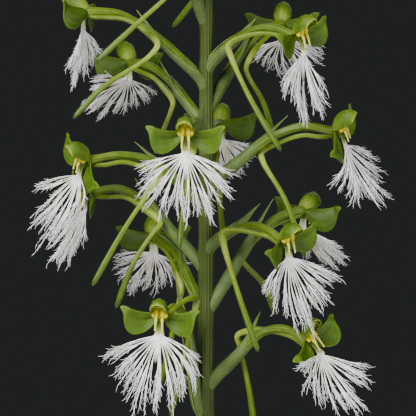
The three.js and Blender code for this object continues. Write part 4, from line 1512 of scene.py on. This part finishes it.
FLOWERS = (
    FlowerPlan(
        "flower_01",
        ((-1.3, -0.9, 384.2), (-6.5, -3, 389.5), (-13.5, -4.6, 395.4), (-21.5, -5.6, 400.2), (-29.5, -6, 400.7)),
        ((-25.2, -6.6, 399.3), (-20.2, -7.2, 398.8), (-16, -8, 396.6), (-12, -8.6, 392.6),
         (-14, -9.3, 389.6), (-25.5, -11.5, 381.7), (-32.8, -13, 374)),
        (-17.2, -2.5, 401.4), -112, -4, 0, LipPlan(4, 66, -6, 15, 10),
        clasp=(95, 70),
    ),
    FlowerPlan(
        "flower_02",
        ((-1.2, 0.9, 373.7), (-5.2, 4, 379.2), (-9.5, 7.5, 384.5), (-14, 11, 387.8), (-19.2, 16, 389)),
        ((-16.6, 12.6, 386.6), (-13.4, 9.6, 385), (-10.6, 7.8, 382.2), (-8.3, 7, 378.9),
         (-8.8, 8.4, 376.6), (-11, 16, 371.5), (-13.1, 25, 366.2)),
        (-11.6, 5.5, 389.2), -158, 4, 0, LipPlan(42, 86, 14, 15, 10),
        clasp=(95, 70),
    ),
    FlowerPlan(
        "flower_03",
        ((-0.5, -1.5, 367.6), (-1.6, -9, 372.3), (-3, -17, 373.2), (-4.2, -22.6, 371.6), (-4.8, -27, 369.8)),
        ((-4.2, -21.5, 368.4), (-3.6, -16.8, 368.9), (-3.1, -12.4, 368.4), (-3, -9.4, 366.6),
         (-3.5, -9.6, 364.2), (-5.4, -13, 352.6), (-6.6, -16, 341.8)),
        (-0.6, -14.5, 377.8), -4, -12, 0, LipPlan(18, 79, 0, 19, 4),
    ),
    FlowerPlan(
        "flower_04",
        ((-1.4, -0.9, 352.4), (-7, -3, 358.2), (-13, -5.2, 363.4), (-21.8, -8, 365.1), (-29.3, -9, 363.9)),
        ((-25.2, -8.9, 362.7), (-20.5, -8.9, 363.4), (-15.6, -8.9, 362.2), (-11.2, -9.4, 360.6),
         (-12.6, -10.6, 358.2), (-20, -13.2, 347), (-28, -15, 332.8)),
        (-17.8, -3.6, 368.4), -64, -4, -30, LipPlan(12, 76, 13, 19, -10, (0, -7)),
        right=(30, -8),
        clasp=(95, 70),
    ),
    FlowerPlan(
        "flower_05",
        ((-1.6, 0.6, 338), (-8.6, 2.6, 345.8), (-15.2, 4, 353.2), (-21.8, 4.8, 356.8), (-29, 4.6, 356)),
        ((-24.6, 3.8, 354.8), (-20.2, 3, 354.7), (-15.4, 1.6, 351.8), (-11.4, -0.4, 348.2),
         (-12.9, -1.4, 346.2), (-18, -2.4, 338.4), (-22.5, -2, 327)),
        (-17.9, 5.8, 359.4), -74, -8, -22, LipPlan(20, 52, 4, 16.5, 0),
        clasp=(95, 70),
    ),
    FlowerPlan(
        "flower_06",
        ((-1.5, 1.1, 328.4), (-4.4, 5.4, 334.4), (-7.4, 11.4, 340), (-10.6, 17, 343.4), (-13.2, 22, 344.8)),
        ((-11.2, 17.6, 342), (-9.4, 13, 340), (-7.7, 9, 336.4), (-6.1, 6.4, 331.4),
         (-6.7, 6.9, 328.9), (-9, 9, 318), (-11.5, 11, 307)),
        (-6.4, 10, 343.6), -172, 0, 0, LipPlan(36, 84, 12, 14.2, 10),
        clasp=(95, 70),
    ),
    FlowerPlan(
        "flower_07",
        ((-1.8, -0.9, 302), (-3.6, -3.4, 314), (-4.6, -7, 322.6), (-7.4, -16, 327.6), (-11, -24.6, 325.6)),
        ((-8.8, -21.4, 326.4), (-6.6, -18, 328.4), (-3.8, -13.8, 329.8), (-2.3, -10.8, 329.6),
         (-2.7, -11.1, 327), (-5.4, -14.4, 315.6), (-8.7, -18, 300.8)),
        (-7.6, -9.4, 334.6), -8, -10, -3, LipPlan(17, 77, -3, 20, 4),
    ),
    FlowerPlan(
        "flower_08",
        ((1.3, 0.9, 377.8), (5, 6, 385), (10, 12, 392.4), (15.2, 16.6, 397.6), (19.2, 21, 399.2)),
        ((16.6, 17.2, 396.4), (14, 14, 394), (12, 11.4, 391.4), (10.1, 9, 387.2),
         (10.9, 9.2, 384.9), (14.4, 12.6, 379), (17, 17.4, 371.4)),
        (12.2, 13, 398.4), 170, 8, 0, LipPlan(38, 84, -10, 15, 10),
    ),
    FlowerPlan(
        "flower_09",
        ((1.3, -0.8, 388.2), (6.4, -3.4, 393.2), (12.2, -7, 396.3), (17.6, -10, 396.3), (22.4, -12.2, 394.6)),
        ((18.2, -11.4, 394.6), (14.4, -10.4, 395.2), (9.6, -9.4, 394.5), (5.5, -9.2, 392.2),
         (6.1, -9.9, 389.6), (11.6, -13, 377.6), (18.5, -16, 365.9)),
        (12.3, -3.4, 399.3), 48, -3, 17, LipPlan(-2, 44, -32, 18.4, -8),
    ),
    FlowerPlan(
        "flower_10",
        ((0.2, 1.5, 361.8), (0.8, 7.6, 368.4), (1.6, 14, 372.4), (2.6, 19.4, 373.6), (3.5, 24, 373.8)),
        ((2.9, 19.4, 371.8), (2.3, 15.4, 371), (2.3, 11.4, 368.6), (2.6, 8.2, 364.4),
         (2.9, 8.9, 361.8), (3.8, 13, 350.6), (4.6, 15.4, 340)),
        (-1.6, 12.4, 376.8), 170, 0, 0, LipPlan(34, 74, -14, 12, 10),
    ),
    FlowerPlan(
        "flower_11",
        ((1.6, -0.6, 358.2), (9, -2.2, 364), (16.8, -3.8, 369.9), (24.4, -4.6, 372.3), (32.2, -5, 371.3)),
        ((28.4, -4.8, 369.7), (24.4, -4.4, 370.1), (19.4, -2.6, 368.8), (13.9, -1.5, 366),
         (14.2, -3, 363.6), (19.6, -7.6, 354), (24.6, -9.6, 339.6)),
        (20.5, -1.6, 375), 70, 4, 28, LipPlan(2, 66, -2, 18.4, -10, (40, 0)),
        left=(30, -8),
    ),
    FlowerPlan(
        "flower_12",
        ((1.8, -0.3, 328.2), (7.6, 2, 337.6), (13.4, 4.6, 345.8), (18.8, 7, 350), (24.4, 10, 351.3)),
        ((20.4, 9.4, 349.2), (16.4, 9, 347.2), (12, 8, 343.9), (8.4, 6.9, 340.5),
         (9.6, 7.6, 338.1), (14.6, 10, 332.6), (17.6, 13, 325)),
        (17, 3.4, 354.3), 150, -6, 8, LipPlan(58, 62, -8, 17, 12),
    ),
    FlowerPlan(
        "flower_13",
        ((1.2, -1.1, 342.3), (6, -6, 346), (11.4, -12, 347.6), (15.6, -17, 346.3), (18.9, -20.2, 344.2)),
        ((15.2, -18.4, 345), (11.6, -16.8, 345.9), (7.6, -15.6, 346.6), (4.2, -15, 346.1),
         (4.3, -15.6, 343.6), (7.8, -18.4, 331.4), (12.8, -21, 316.8)),
        (13.5, -4.4, 353), 42, -12, 16, LipPlan(12, 80, -8, 19, -14),
        left=(14, 12),
    ),
    FlowerPlan(
        "flower_14",
        ((1.7, -0.6, 308.8), (8.2, -2.2, 315.4), (14.4, -4.4, 321.2), (20.2, -7, 321.8), (25.4, -9.4, 319)),
        ((21.6, -7.4, 319.9), (17.4, -5.2, 321.2), (12.2, -2.6, 321.6), (7.9, -0.6, 320.2),
         (8.4, 0.4, 317.6), (10.6, 1.4, 307.6), (12.6, 1.4, 294)),
        (13.6, -0.6, 326), 38, 16, 26, LipPlan(0, 78, -29, 18.2, -16),
        left=(24, 3),
    ),
    FlowerPlan(
        "flower_15",
        ((-1.2, -0.8, 400.6), (-3.6, -5, 409.6), (-6, -10.6, 418.6), (-8.4, -16.4, 425.8), (-10.2, -21, 428.2)),
        ((-9, -17.4, 425), (-8, -15, 421), (-7, -13.4, 415), (-6.4, -12.6, 407.6),
         (-8.4, -12.9, 405.2), (-18, -13.8, 396.4), (-27.2, -14.6, 387.8)),
        (-2.6, -9.8, 421), -26, -8, 0, LipPlan(30, 68, 0, 16, 12),
    ),
    FlowerPlan(
        "flower_16",
        ((-1, 1, 403.6), (-4.4, 5.6, 412.6), (-8.2, 11, 421), (-11.6, 16, 427.6), (-14, 20.4, 430)),
        ((-11.4, 16.6, 426.4), (-8, 12.6, 421.6), (-3.6, 9, 416.2), (1, 7.4, 412),
         (0.6, 8, 409.6), (-3.6, 10.4, 403.8), (-8.5, 13, 397.8)),
        (-7.4, 7, 424.6), -142, 2, 0, LipPlan(20, 72, 0, 15, 12),
    ),
)


@dataclass(frozen=True)
class StrandHabit:
    """How a lobe's strands vary: the range of each random draw, as shares, degrees or millimetres."""

    base_wander: tuple[float, float] = (-0.3, 0.3)
    tip_wander: tuple[float, float] = (-0.6, 0.6)
    length: tuple[float, float] = (0.78, 1.02)
    depth: tuple[float, float] = (-1.5, 1.5)
    sway: tuple[float, float] = (0.8, 4.2)
    phase: tuple[float, float] = (0, 6.28)
    stout: tuple[float, float] = (0.72, 1.1)
    width: tuple[float, float] = (0.7, 1.1)
    fork: tuple[float, float] = (0.26, 0.6)
    cut: tuple[float, float] = (0.8, 0.98)
    aside: tuple[float, float] = (-0.12, 0.12)
    away: tuple[float, float] = (-0.55, 0.55)
    # A strand's radii, a branch's share of them, and the share of each that bears no hairs.
    radii: tuple[float, ...] = (0.22, 0.17, 0.165, 0.155, 0.135, 0.11, 0.05)
    branch_share: float = 0.78
    bare: float = 0.6
    branch_bare: float = 0.36
    points: int = 17


@dataclass
class Flower:
    """One open flower: the green parts, the column and the fringed lip, in the flower's own frame.

    Its tables are in millimetres, as seen from in front of it: x to the right, y up and z the way that it faces.
    Those of the column are for its right side.
    """

    plan: FlowerPlan
    number: int
    hood_crest: tuple[Flat, ...] = ((-0.6, 0.9), (0.7, 3.3), (2.5, 4.7), (4.4, 5.1), (5.6, 4.6), (6.3, 3.8))
    hood_rim: tuple[Flat, ...] = ((0.1, 0.3), (5.3, 2.4))
    hood_half: float = 2.25
    hood_thickness: float = 0.36
    hood_ridge: float = 0.035
    crimp: float = 0.16
    flare: float = 0.16
    sepal_hinge: float = 0.8
    sepal_upper: tuple[Flat, ...] = ((0.8, 0.9), (3.5, 1.0), (6.0, 1.2), (8.7, 3.0))
    sepal_lower: tuple[Flat, ...] = ((0.8, -0.6), (2.4, -4.4), (9.7, -8.2), (8.7, 3.0))
    sepal_sweep: float = 0.34
    sepal_cup: float = 0.9
    sepal_curl: float = 0.9
    sepal_fold: float = 0.28
    sepal_rim: float = 0.16
    sepal_beak: Flat = (1.0, 0.35)
    sepal_thickness: float = 0.5
    stalk_radii: tuple[float, ...] = (1.0, 1.2, 1.22, 1.18, 1.1, 1.02, 1.0, 1.0, 0.92, 1.2)
    spur_radii: tuple[float, ...] = (0.6, 0.56, 0.56, 0.62, 0.92, 0.72, 0.58, 0.6, 0.66, 0.74, 0.8, 0.56)
    throat_path: tuple[Vec, ...] = ((0, 1.4, 0.6), (0, 0.2, 0.95), (0, -1.1, 0.9), (0, -2.0, 0.5))
    anther_cell: tuple[Vec, ...] = ((0.76, -0.1, 2.2), (0.74, 0.9, 2.45), (0.7, 2.0, 2.3), (0.6, 2.9, 1.8))
    anther_lobe: tuple[Vec, ...] = ((1.2, -0.1, 1.8), (1.45, 0.6, 1.9), (1.4, 1.4, 1.8), (1.1, 2.2, 1.6))
    prong: tuple[Vec, ...] = ((0.76, 0.3, 2.5), (0.8, -0.7, 2.8), (0.88, -2.0, 2.95), (0.92, -3.0, 3.05))
    bridge: tuple[Vec, ...] = ((-0.75, 2.1, 1.75), (-0.3, 2.45, 1.8), (0.3, 2.45, 1.8), (0.75, 2.1, 1.75))
    stigma: tuple[Vec, ...] = ((0.0, 2.4, 1.7), (0.0, 1.3, 1.85), (0.0, 0.3, 1.8), (0.0, -0.6, 1.75))
    claw_widths: tuple[float, ...] = (0.85, 0.9, 1.15, 0.62, 0.52, 0.46, 0.1)
    claw_top: float = -0.6
    claw_end: float = -4.4
    strands: int = 10
    inner_angle: float = 7
    side_loss: float = 0.3
    lobe_bend: float = 5.4
    middle_lobe: float = 6.4
    lip_stand_off: float = 0.72
    lip_sag: float = 0.012
    claw_thickness: float = 0.34
    web_thickness: float = 0.3
    habit: StrandHabit = StrandHabit()
    hair: float = 2.8
    hair_radius: float = 0.08
    hair_spacing: float = 1.1
    hair_wave: float = 0.9
    axes: Array = field(init=False)
    throat: Array = field(init=False)
    rng: np.random.Generator = field(init=False)

    def __post_init__(self) -> None:
        """Sets the flower's own axes and its own random numbers."""
        face, pitch, roll = (math.radians(a) for a in (self.plan.face, self.plan.pitch, self.plan.roll))
        z = np.array([math.sin(face) * math.cos(pitch), -math.cos(face) * math.cos(pitch), math.sin(pitch)])
        y = np.array([0, 0, 1]) - z * z[2]
        y /= np.linalg.norm(y)
        y = y * math.cos(roll) + np.cross(z, y) * math.sin(roll)
        self.axes = np.stack([np.cross(y, z), y, z])
        self.throat = np.array(self.plan.stalk[-1], float)
        self.rng = np.random.default_rng(100 + self.number)

    def place(self, local: Any) -> Array:
        """Takes places from the flower's frame into the plant's."""
        return np.asarray(local, float) @ self.axes + self.throat

    def sepal(self, side: int) -> Shell:
        """A lateral sepal, spread like a wing and turned about its hinge, with a hooked tip that curls back.

        Args:
            side: +1 for the right, seen from in front, or -1.

        Returns:
            The closed blade.
        """
        even = np.linspace(0, 1, 32)
        u, v = np.meshgrid(0.4 * even + 0.6 * np.sin(even * math.pi / 2), np.linspace(0, 1, 15), indexing="ij")
        t = 0.985 * u
        across = v if side > 0 else 1 - v
        flat = bezier(self.sepal_upper, t) * (1 - across[..., None]) + bezier(self.sepal_lower, t) * across[..., None]
        x, y = flat[..., 0], flat[..., 1]
        cup = self.sepal_cup * np.sin(math.pi * across) * np.sin(math.pi * np.minimum(1, u + 0.1))
        fold = self.sepal_fold * np.exp(-(((across - 0.42) / 0.1) ** 2)) * (1 - u) ** 0.6
        curl = self.sepal_curl * smoothstep(0.78, 1, u) ** 1.5
        rim = self.sepal_rim * np.sin(9 * u + self.number) * (2 * across - 1) ** 4 * (1 - u)
        z = 0.15 + self.sepal_sweep * (x - self.sepal_hinge) - cup - fold - curl + rim
        beak = np.clip((u - 0.9) / 0.1, 0, 1) ** 2
        droop, forward = (math.radians(-side * a) for a in (self.plan.right if side > 0 else self.plan.left))
        hinge = side * self.sepal_hinge
        x, y = side * (x + self.sepal_beak[0] * beak) - hinge, y - self.sepal_beak[1] * beak
        x, y = x * math.cos(droop) - y * math.sin(droop), x * math.sin(droop) + y * math.cos(droop)
        x, z = x * math.cos(forward) + z * math.sin(forward), z * math.cos(forward) - x * math.sin(forward)
        return sheet(self.place(np.stack([x + hinge, y, z], axis=-1)), self.sepal_thickness, 0, flip=True)

    def hood(self, size: float, rise: float, finish: int) -> Shell:
        """The hood over the column: the dorsal sepal, or the petals a size smaller inside it.

        Args:
            size: Its width as a share of the sepal's, under 1 for the petals.
            rise: Its height as a share of the sepal's.
            finish: The finish of its faces.

        Returns:
            The closed shell.
        """
        crest = smooth_path(self.hood_crest, 26)
        u, v = shares(26, 23)
        (z0, y0), (z1, y1) = self.hood_rim
        turn = (v - 0.5) * math.pi
        half = 0.5 + (self.hood_half - 0.5) * np.sin(math.pi * (0.14 + 0.64 * u))
        base_z, base_y = z0 + (z1 - z0) * u, y0 + (y1 - y0) * u
        top_z, top_y = (np.repeat(crest[:, k : k + 1], 23, axis=1) for k in (0, 1))
        # Low lengthwise ridges, and a rim that is crimped between them on the sepal alone.
        outermost = size > 0.95
        ridge = 1 + self.hood_ridge * np.cos(5 * 2 * turn) * np.sin(math.pi * u) ** 0.5
        crimp = self.crimp * smoothstep(0.75, 1, u) * np.cos(7 * 2 * turn + self.number) * outermost
        flare = self.flare * smoothstep(0.86, 1, u) * outermost
        x = (half + flare) * np.sin(turn) * size * ridge
        y = (base_y + (top_y - base_y) * np.cos(turn) * size * ridge) * rise + 0.5 * crimp + flare * np.cos(turn)
        z = (base_z + (top_z - base_z) * np.cos(turn)) * rise**1.5 + crimp
        return sheet(self.place(np.stack([x, y, z], axis=-1)), self.hood_thickness * size, finish, thin=0.4)

    def build_green(self, shop: Workshop) -> None:
        """Makes the bract, the stalk with its ovary, the sepals and the spur.

        Args:
            shop: The shared trees and finishes.
        """
        local_end = self.place([(0, 0, -1), (0, 0, 0.3)])
        first = np.array(self.plan.stalk[0])
        root = first * (0.1, 0.1, 1) - (0, 0, 2.6)
        stalk = smooth_path([root, *self.plan.stalk[:-1], *local_end], 60)
        girth = swell(self.stalk_radii, 60)
        spur = smooth_path([*self.place([(0, -0.5, 0), (0, -1.3, -1.4)]), *self.plan.spur], 84)
        bore = swell(self.spur_radii, 84, (0, 0.03))
        throat = smooth_path(self.place(self.throat_path), 14)
        shells = [
            self.sepal(1), self.sepal(-1),
            self.hood(1.0, 1.0, 1), self.hood(0.9, 0.93, 2),
            shop.tubes([stalk], [girth], 24, 6, 0.07, 2.2, finish=3),
            shop.tubes([spur], [bore], 20, 4, 0.05, 0.6, finish=4),
            bract_sheet(stalk, np.array(self.plan.bract), 1.45, 1.28, finish=5, clasp=self.plan.clasp),
            shop.tubes([throat], [swell([0.8, 1.25, 1.1, 0.4], 14, (0.25, 0.1))], 20, finish=6),
        ]
        finishes = [SEPAL_SKIN, HOOD_SKIN, PETAL_SKIN, STALK_SKIN, SPUR_SKIN, BRACT_SKIN, THROAT_SKIN]
        node = f"{self.plan.name}_green"
        shop.finish_piece(f"{node}_parts", node, shells, finishes)

    def build_column(self, shop: Workshop) -> None:
        """Makes the two anther cells with their side lobes and bridge, the stigma between them and the two prongs.

        Args:
            shop: The shared trees and finishes.
        """
        cells, lobes, prongs = (
            [[(side * x, y, z) for x, y, z in half] for side in (-1, 1)]
            for half in (self.anther_cell, self.anther_lobe, self.prong)
        )
        anthers = [smooth_path(self.place(p), 16) for p in [*cells, *lobes, self.bridge]]
        shape = [swell([0.4, 0.52, 0.55, 0.4], 16, (0.22, 0.3))] * 2
        shape += [swell([0.34, 0.56, 0.5, 0.3], 16, (0.22, 0.3))] * 2
        shape += [swell([0.36, 0.42, 0.42, 0.36], 16, (0.2, 0.2))]
        canals = [smooth_path(self.place(p), 22) for p in prongs]
        taper = swell([0.44, 0.38, 0.28, 0.21, 0.18, 0.22], 22, (0.1, 0.06))
        cushion = smooth_path(self.place(self.stigma), 16)
        bulge = swell([0.4, 0.5, 0.52, 0.36], 16, (0.2, 0.3))
        shells = [
            shop.tubes(anthers, shape, 14, 2, 0.08),
            shop.tubes(canals, [taper] * 2, 12, finish=1),
            shop.tubes([cushion], [bulge], 14, 2, 0.05, finish=2),
        ]
        node = f"{self.plan.name}_column"
        shop.finish_piece(f"{node}_parts", node, shells, [ANTHER_SKIN, PRONG_SKIN, STIGMA_SKIN])

    def hang(self, x: Array, y: Array, depth: Array) -> Array:
        """Hangs the flat lip from its claw.

        Args:
            x: Places across the lip, from its middle.
            y: Places along it, 0 at the foot of its claw and negative below.
            depth: How far each place stands out of the lip's own plane.

        Returns:
            The places in the plant's frame.
        """
        swing, fold = math.radians(self.plan.lip.swing), math.radians(self.plan.lip.fold)
        down = np.maximum(0, -y)
        behind = np.sin(np.radians(np.where(x < 0, *self.plan.lip.behind))) * (x / self.lobe_bend) ** 4
        lean = down * math.sin(swing) + self.lip_sag * down**2 - np.abs(x) * math.sin(fold) - behind
        height = self.claw_end + np.where(y > 0, y, y * math.cos(swing))
        z = depth + self.lip_stand_off + 0.1 * np.maximum(0, self.claw_top - self.claw_end - y) + lean
        return self.place(np.stack([x * math.cos(fold), height, z], axis=-1))

    def claw(self) -> Shell:
        """The lip's narrow claw, and the short middle lobe below it.

        Returns:
            The closed blade.
        """
        u, v = np.meshgrid(np.linspace(0, 1, 34), np.linspace(-1, 1, 11), indexing="ij")
        top = self.claw_top - self.claw_end + 0.4
        y = top - (top + self.middle_lobe) * u
        half = np.interp(u, [0, 0.2, 0.38, 0.5, 0.8, 0.93, 1], self.claw_widths)
        bow = 0.35 * np.cos(v * 1.4) * (1 - 0.6 * u)
        bend = math.radians(self.plan.lip.turn) * np.clip(-y, 0, None)
        return sheet(self.hang(v * half + bend, y, 0.35 + bow), self.claw_thickness, 0, thin=0.5)

    def web(self, side: int) -> Shell:
        """The undivided root of a side lobe, from which its strands part.

        Args:
            side: +1 for the right, seen from in front, or -1.

        Returns:
            The closed blade.
        """
        lip, inner = self.plan.lip, self.inner_angle * 0.4
        u, v = shares(10, 27)
        angle = np.radians(side * (inner + (lip.spread - 5 - inner) * v) + lip.turn)
        scallop = np.cos(v * 2 * math.pi * (self.strands - 1))
        reach = (0.2 + (1.5 + 0.4 * scallop) * u) * (1 - 0.25 * v)
        ridge = 0.08 * scallop * u
        grid = self.hang(reach * np.sin(angle), 0.35 - reach * np.cos(angle), 0.45 + ridge - 0.15 * v)
        return sheet(grid, self.web_thickness, 1, thin=0.5)

    def strand_paths(self, side: int) -> tuple[list[Array], list[Array], list[Array]]:
        """The strands of one side lobe.

        Args:
            side: +1 for the right, seen from in front, or -1.

        Returns:
            Each strand's path, its radii, and the share of its length that is bare of hairs.
        """
        lip, habit, uniform = self.plan.lip, self.habit, self.rng.uniform
        paths, girths, bare = [], [], []
        t = np.linspace(0, 1, habit.points)
        fan = lip.spread - self.inner_angle
        step = fan / (self.strands - 1)
        for k in range(self.strands):
            share = k / (self.strands - 1)
            base = self.inner_angle + fan * share + uniform(*habit.base_wander) * step
            tip = 2.5 + (lip.spread * 0.87 - 2.5) * share**0.94 + uniform(*habit.tip_wander) * step
            reach = lip.length * (1 - self.side_loss * share) * uniform(*habit.length)
            depth = uniform(*habit.depth)
            sway, phase, stout = (uniform(*limits) for limits in (habit.sway, habit.phase, habit.stout))
            angle = base + (tip - base) * t**1.3 + sway * np.sin(3 * t + phase) * t
            lift = depth * t**1.2 + 0.2 * np.sin(4 * t + phase) * t
            thick = stout * swell(habit.radii, habit.points)
            # A strand splits into a tuft of thinner ones that run on beside it and end in a point.
            width = min(0.3 * lip.length * math.radians(step), 0.75) * uniform(*habit.width)
            for branch in (0.0, -1.0, 0.9, *([0.35] if k % 2 else [])):
                fork = uniform(*habit.fork)
                part = np.clip((t - fork) / (1 - fork), 0, 1)
                cut = uniform(*habit.cut) if branch else 1.0
                out = (0.45 + (reach - 0.45) * t) * (1 - (1 - cut) * t)
                beside = branch * width * part**0.7 + uniform(*habit.aside) * part
                radians = np.radians(side * angle + lip.turn) + side * beside / np.maximum(out, 2)
                away = lift + uniform(*habit.away) * part
                path = self.hang(out * np.sin(radians), -out * np.cos(radians), 0.45 + away)
                begin = max(0, int(fork * (habit.points - 1)) - 1) if branch else 0
                paths.append(path[begin:])
                girths.append((thick * habit.branch_share if branch else thick)[begin:])
                bare.append(np.full(habit.points - begin, habit.branch_bare if branch else habit.bare))
        return paths, girths, bare

    def build_lip(self, shop: Workshop) -> None:
        """Makes the claw with the middle lobe, and the two fringed side lobes.

        Args:
            shop: The shared trees and finishes.
        """
        paths, girths, bare = (left + right for left, right in zip(self.strand_paths(-1), self.strand_paths(1)))
        mesh = path_mesh(paths, {"girth": [g * MM for g in girths], "bare": bare})
        inputs = {
            "Spacing": self.hair_spacing * MM, "Hair": self.hair * MM, "Hair radius": self.hair_radius * MM,
            "Wave": self.hair_wave * MM, "Face": Vector(self.axes[2]), "Seed": 40 * self.number,
        }
        shells = [self.claw(), self.web(-1), self.web(1), grow(shop.fringe, mesh, inputs, finish=1)]
        name = self.plan.name
        shop.finish_piece(f"{name}_fringed_lip", f"{name}_lip", shells, [CLAW_SKIN, FRINGE_SKIN])

    def build(self, shop: Workshop) -> None:
        """Makes the whole flower.

        Args:
            shop: The shared trees and finishes.
        """
        self.build_green(shop)
        self.build_column(shop)
        self.build_lip(shop)


# The studio


@dataclass(frozen=True)
class SoftLight:
    """A square soft box: where it stands and looks to, its side and its power, in metres and watts."""

    name: str
    place: Vec
    aim: Vec
    side: float
    power: float
    colour: str = "#ffffff"

    def build(self) -> None:
        """Sets it up."""
        lamp = bpy.data.lights.new(self.name, "AREA")
        lamp.shape, lamp.size, lamp.energy, lamp.color = "SQUARE", self.side, self.power, linear(self.colour)[:3]
        box = put(self.name, lamp)
        box.location = self.place
        box.rotation_euler = (Vector(self.aim) - Vector(self.place)).to_track_quat("-Z", "Y").to_euler()


@dataclass
class Studio:
    """A plain pale floor, soft light, and a camera level with the middle of the flower spike."""

    floor_radius: float = 5.0
    # The floor's top and underside, in millimetres.
    floor_top: float = -0.05
    floor_under: float = -0.35
    sensor: float = 36
    camera: Vec = (0.0005, -0.9, 0.352)
    view_width: float = 0.104
    lights: tuple[SoftLight, ...] = (
        SoftLight("key", (-0.6, -1.15, 1.1), (0, 0, 0.33), 0.75, 58),
        SoftLight("fill", (1.1, -0.95, 0.5), (0, 0, 0.3), 1.0, 15, "#f4f7ff"),
        SoftLight("back", (0.35, 1.1, 1.05), (0, 0, 0.33), 1.0, 4),
    )

    def build(self) -> None:
        """Sets the studio up."""
        hub, edge = 0.01, self.floor_radius / MM
        outline = [(hub, self.floor_under), (edge, self.floor_under), (edge, self.floor_top), (hub, self.floor_top)]
        disc = lathe(outline, 96)
        tree, shader = start_material("matt_paper_floor")
        shades = {"Factor": clouds(tree, 90), "A": "#dfddd8", "B": "#e6e4df"}
        shade = add_node(tree, "ShaderNodeMix", shades, data_type="RGBA")
        feed_node(tree, shader, {"Base Color": shade, "Roughness": 0.85})
        floor = put("floor", disc.to_mesh("floor", [bpy.data.materials["matt_paper_floor"]], crease=30))
        for light in self.lights:
            light.build()
        world = bpy.data.worlds.new("studio")
        world.use_nodes = True
        sky = world.node_tree.nodes["Background"]
        feed_node(world.node_tree, sky, {"Color": "#252727", "Strength": 1.0})
        bpy.context.scene.world = world
        lens = bpy.data.cameras.new("camera")
        lens.sensor_width = self.sensor
        lens.lens = self.sensor * abs(self.camera[1]) / self.view_width
        lens.clip_end = 50
        eye = put("camera", lens)
        eye.location = self.camera
        eye.rotation_euler = (math.radians(90), 0, 0)
        bpy.context.scene.camera = eye


def main() -> None:
    """Builds the whole plant, its pot and the studio."""
    logging.basicConfig(level=logging.INFO, format="%(message)s")
    shop = Workshop()
    Studio().build()
    pot = Pot()
    pot.build(shop)
    PottingMix(pot).build(shop)
    stem = Stem()
    stem.build(shop)
    for leaf in LEAVES:
        leaf.build(shop, stem)
    for number, plan in enumerate(FLOWERS, 1):
        Flower(plan, number).build(shop)


if __name__ == "__main__":
    main()
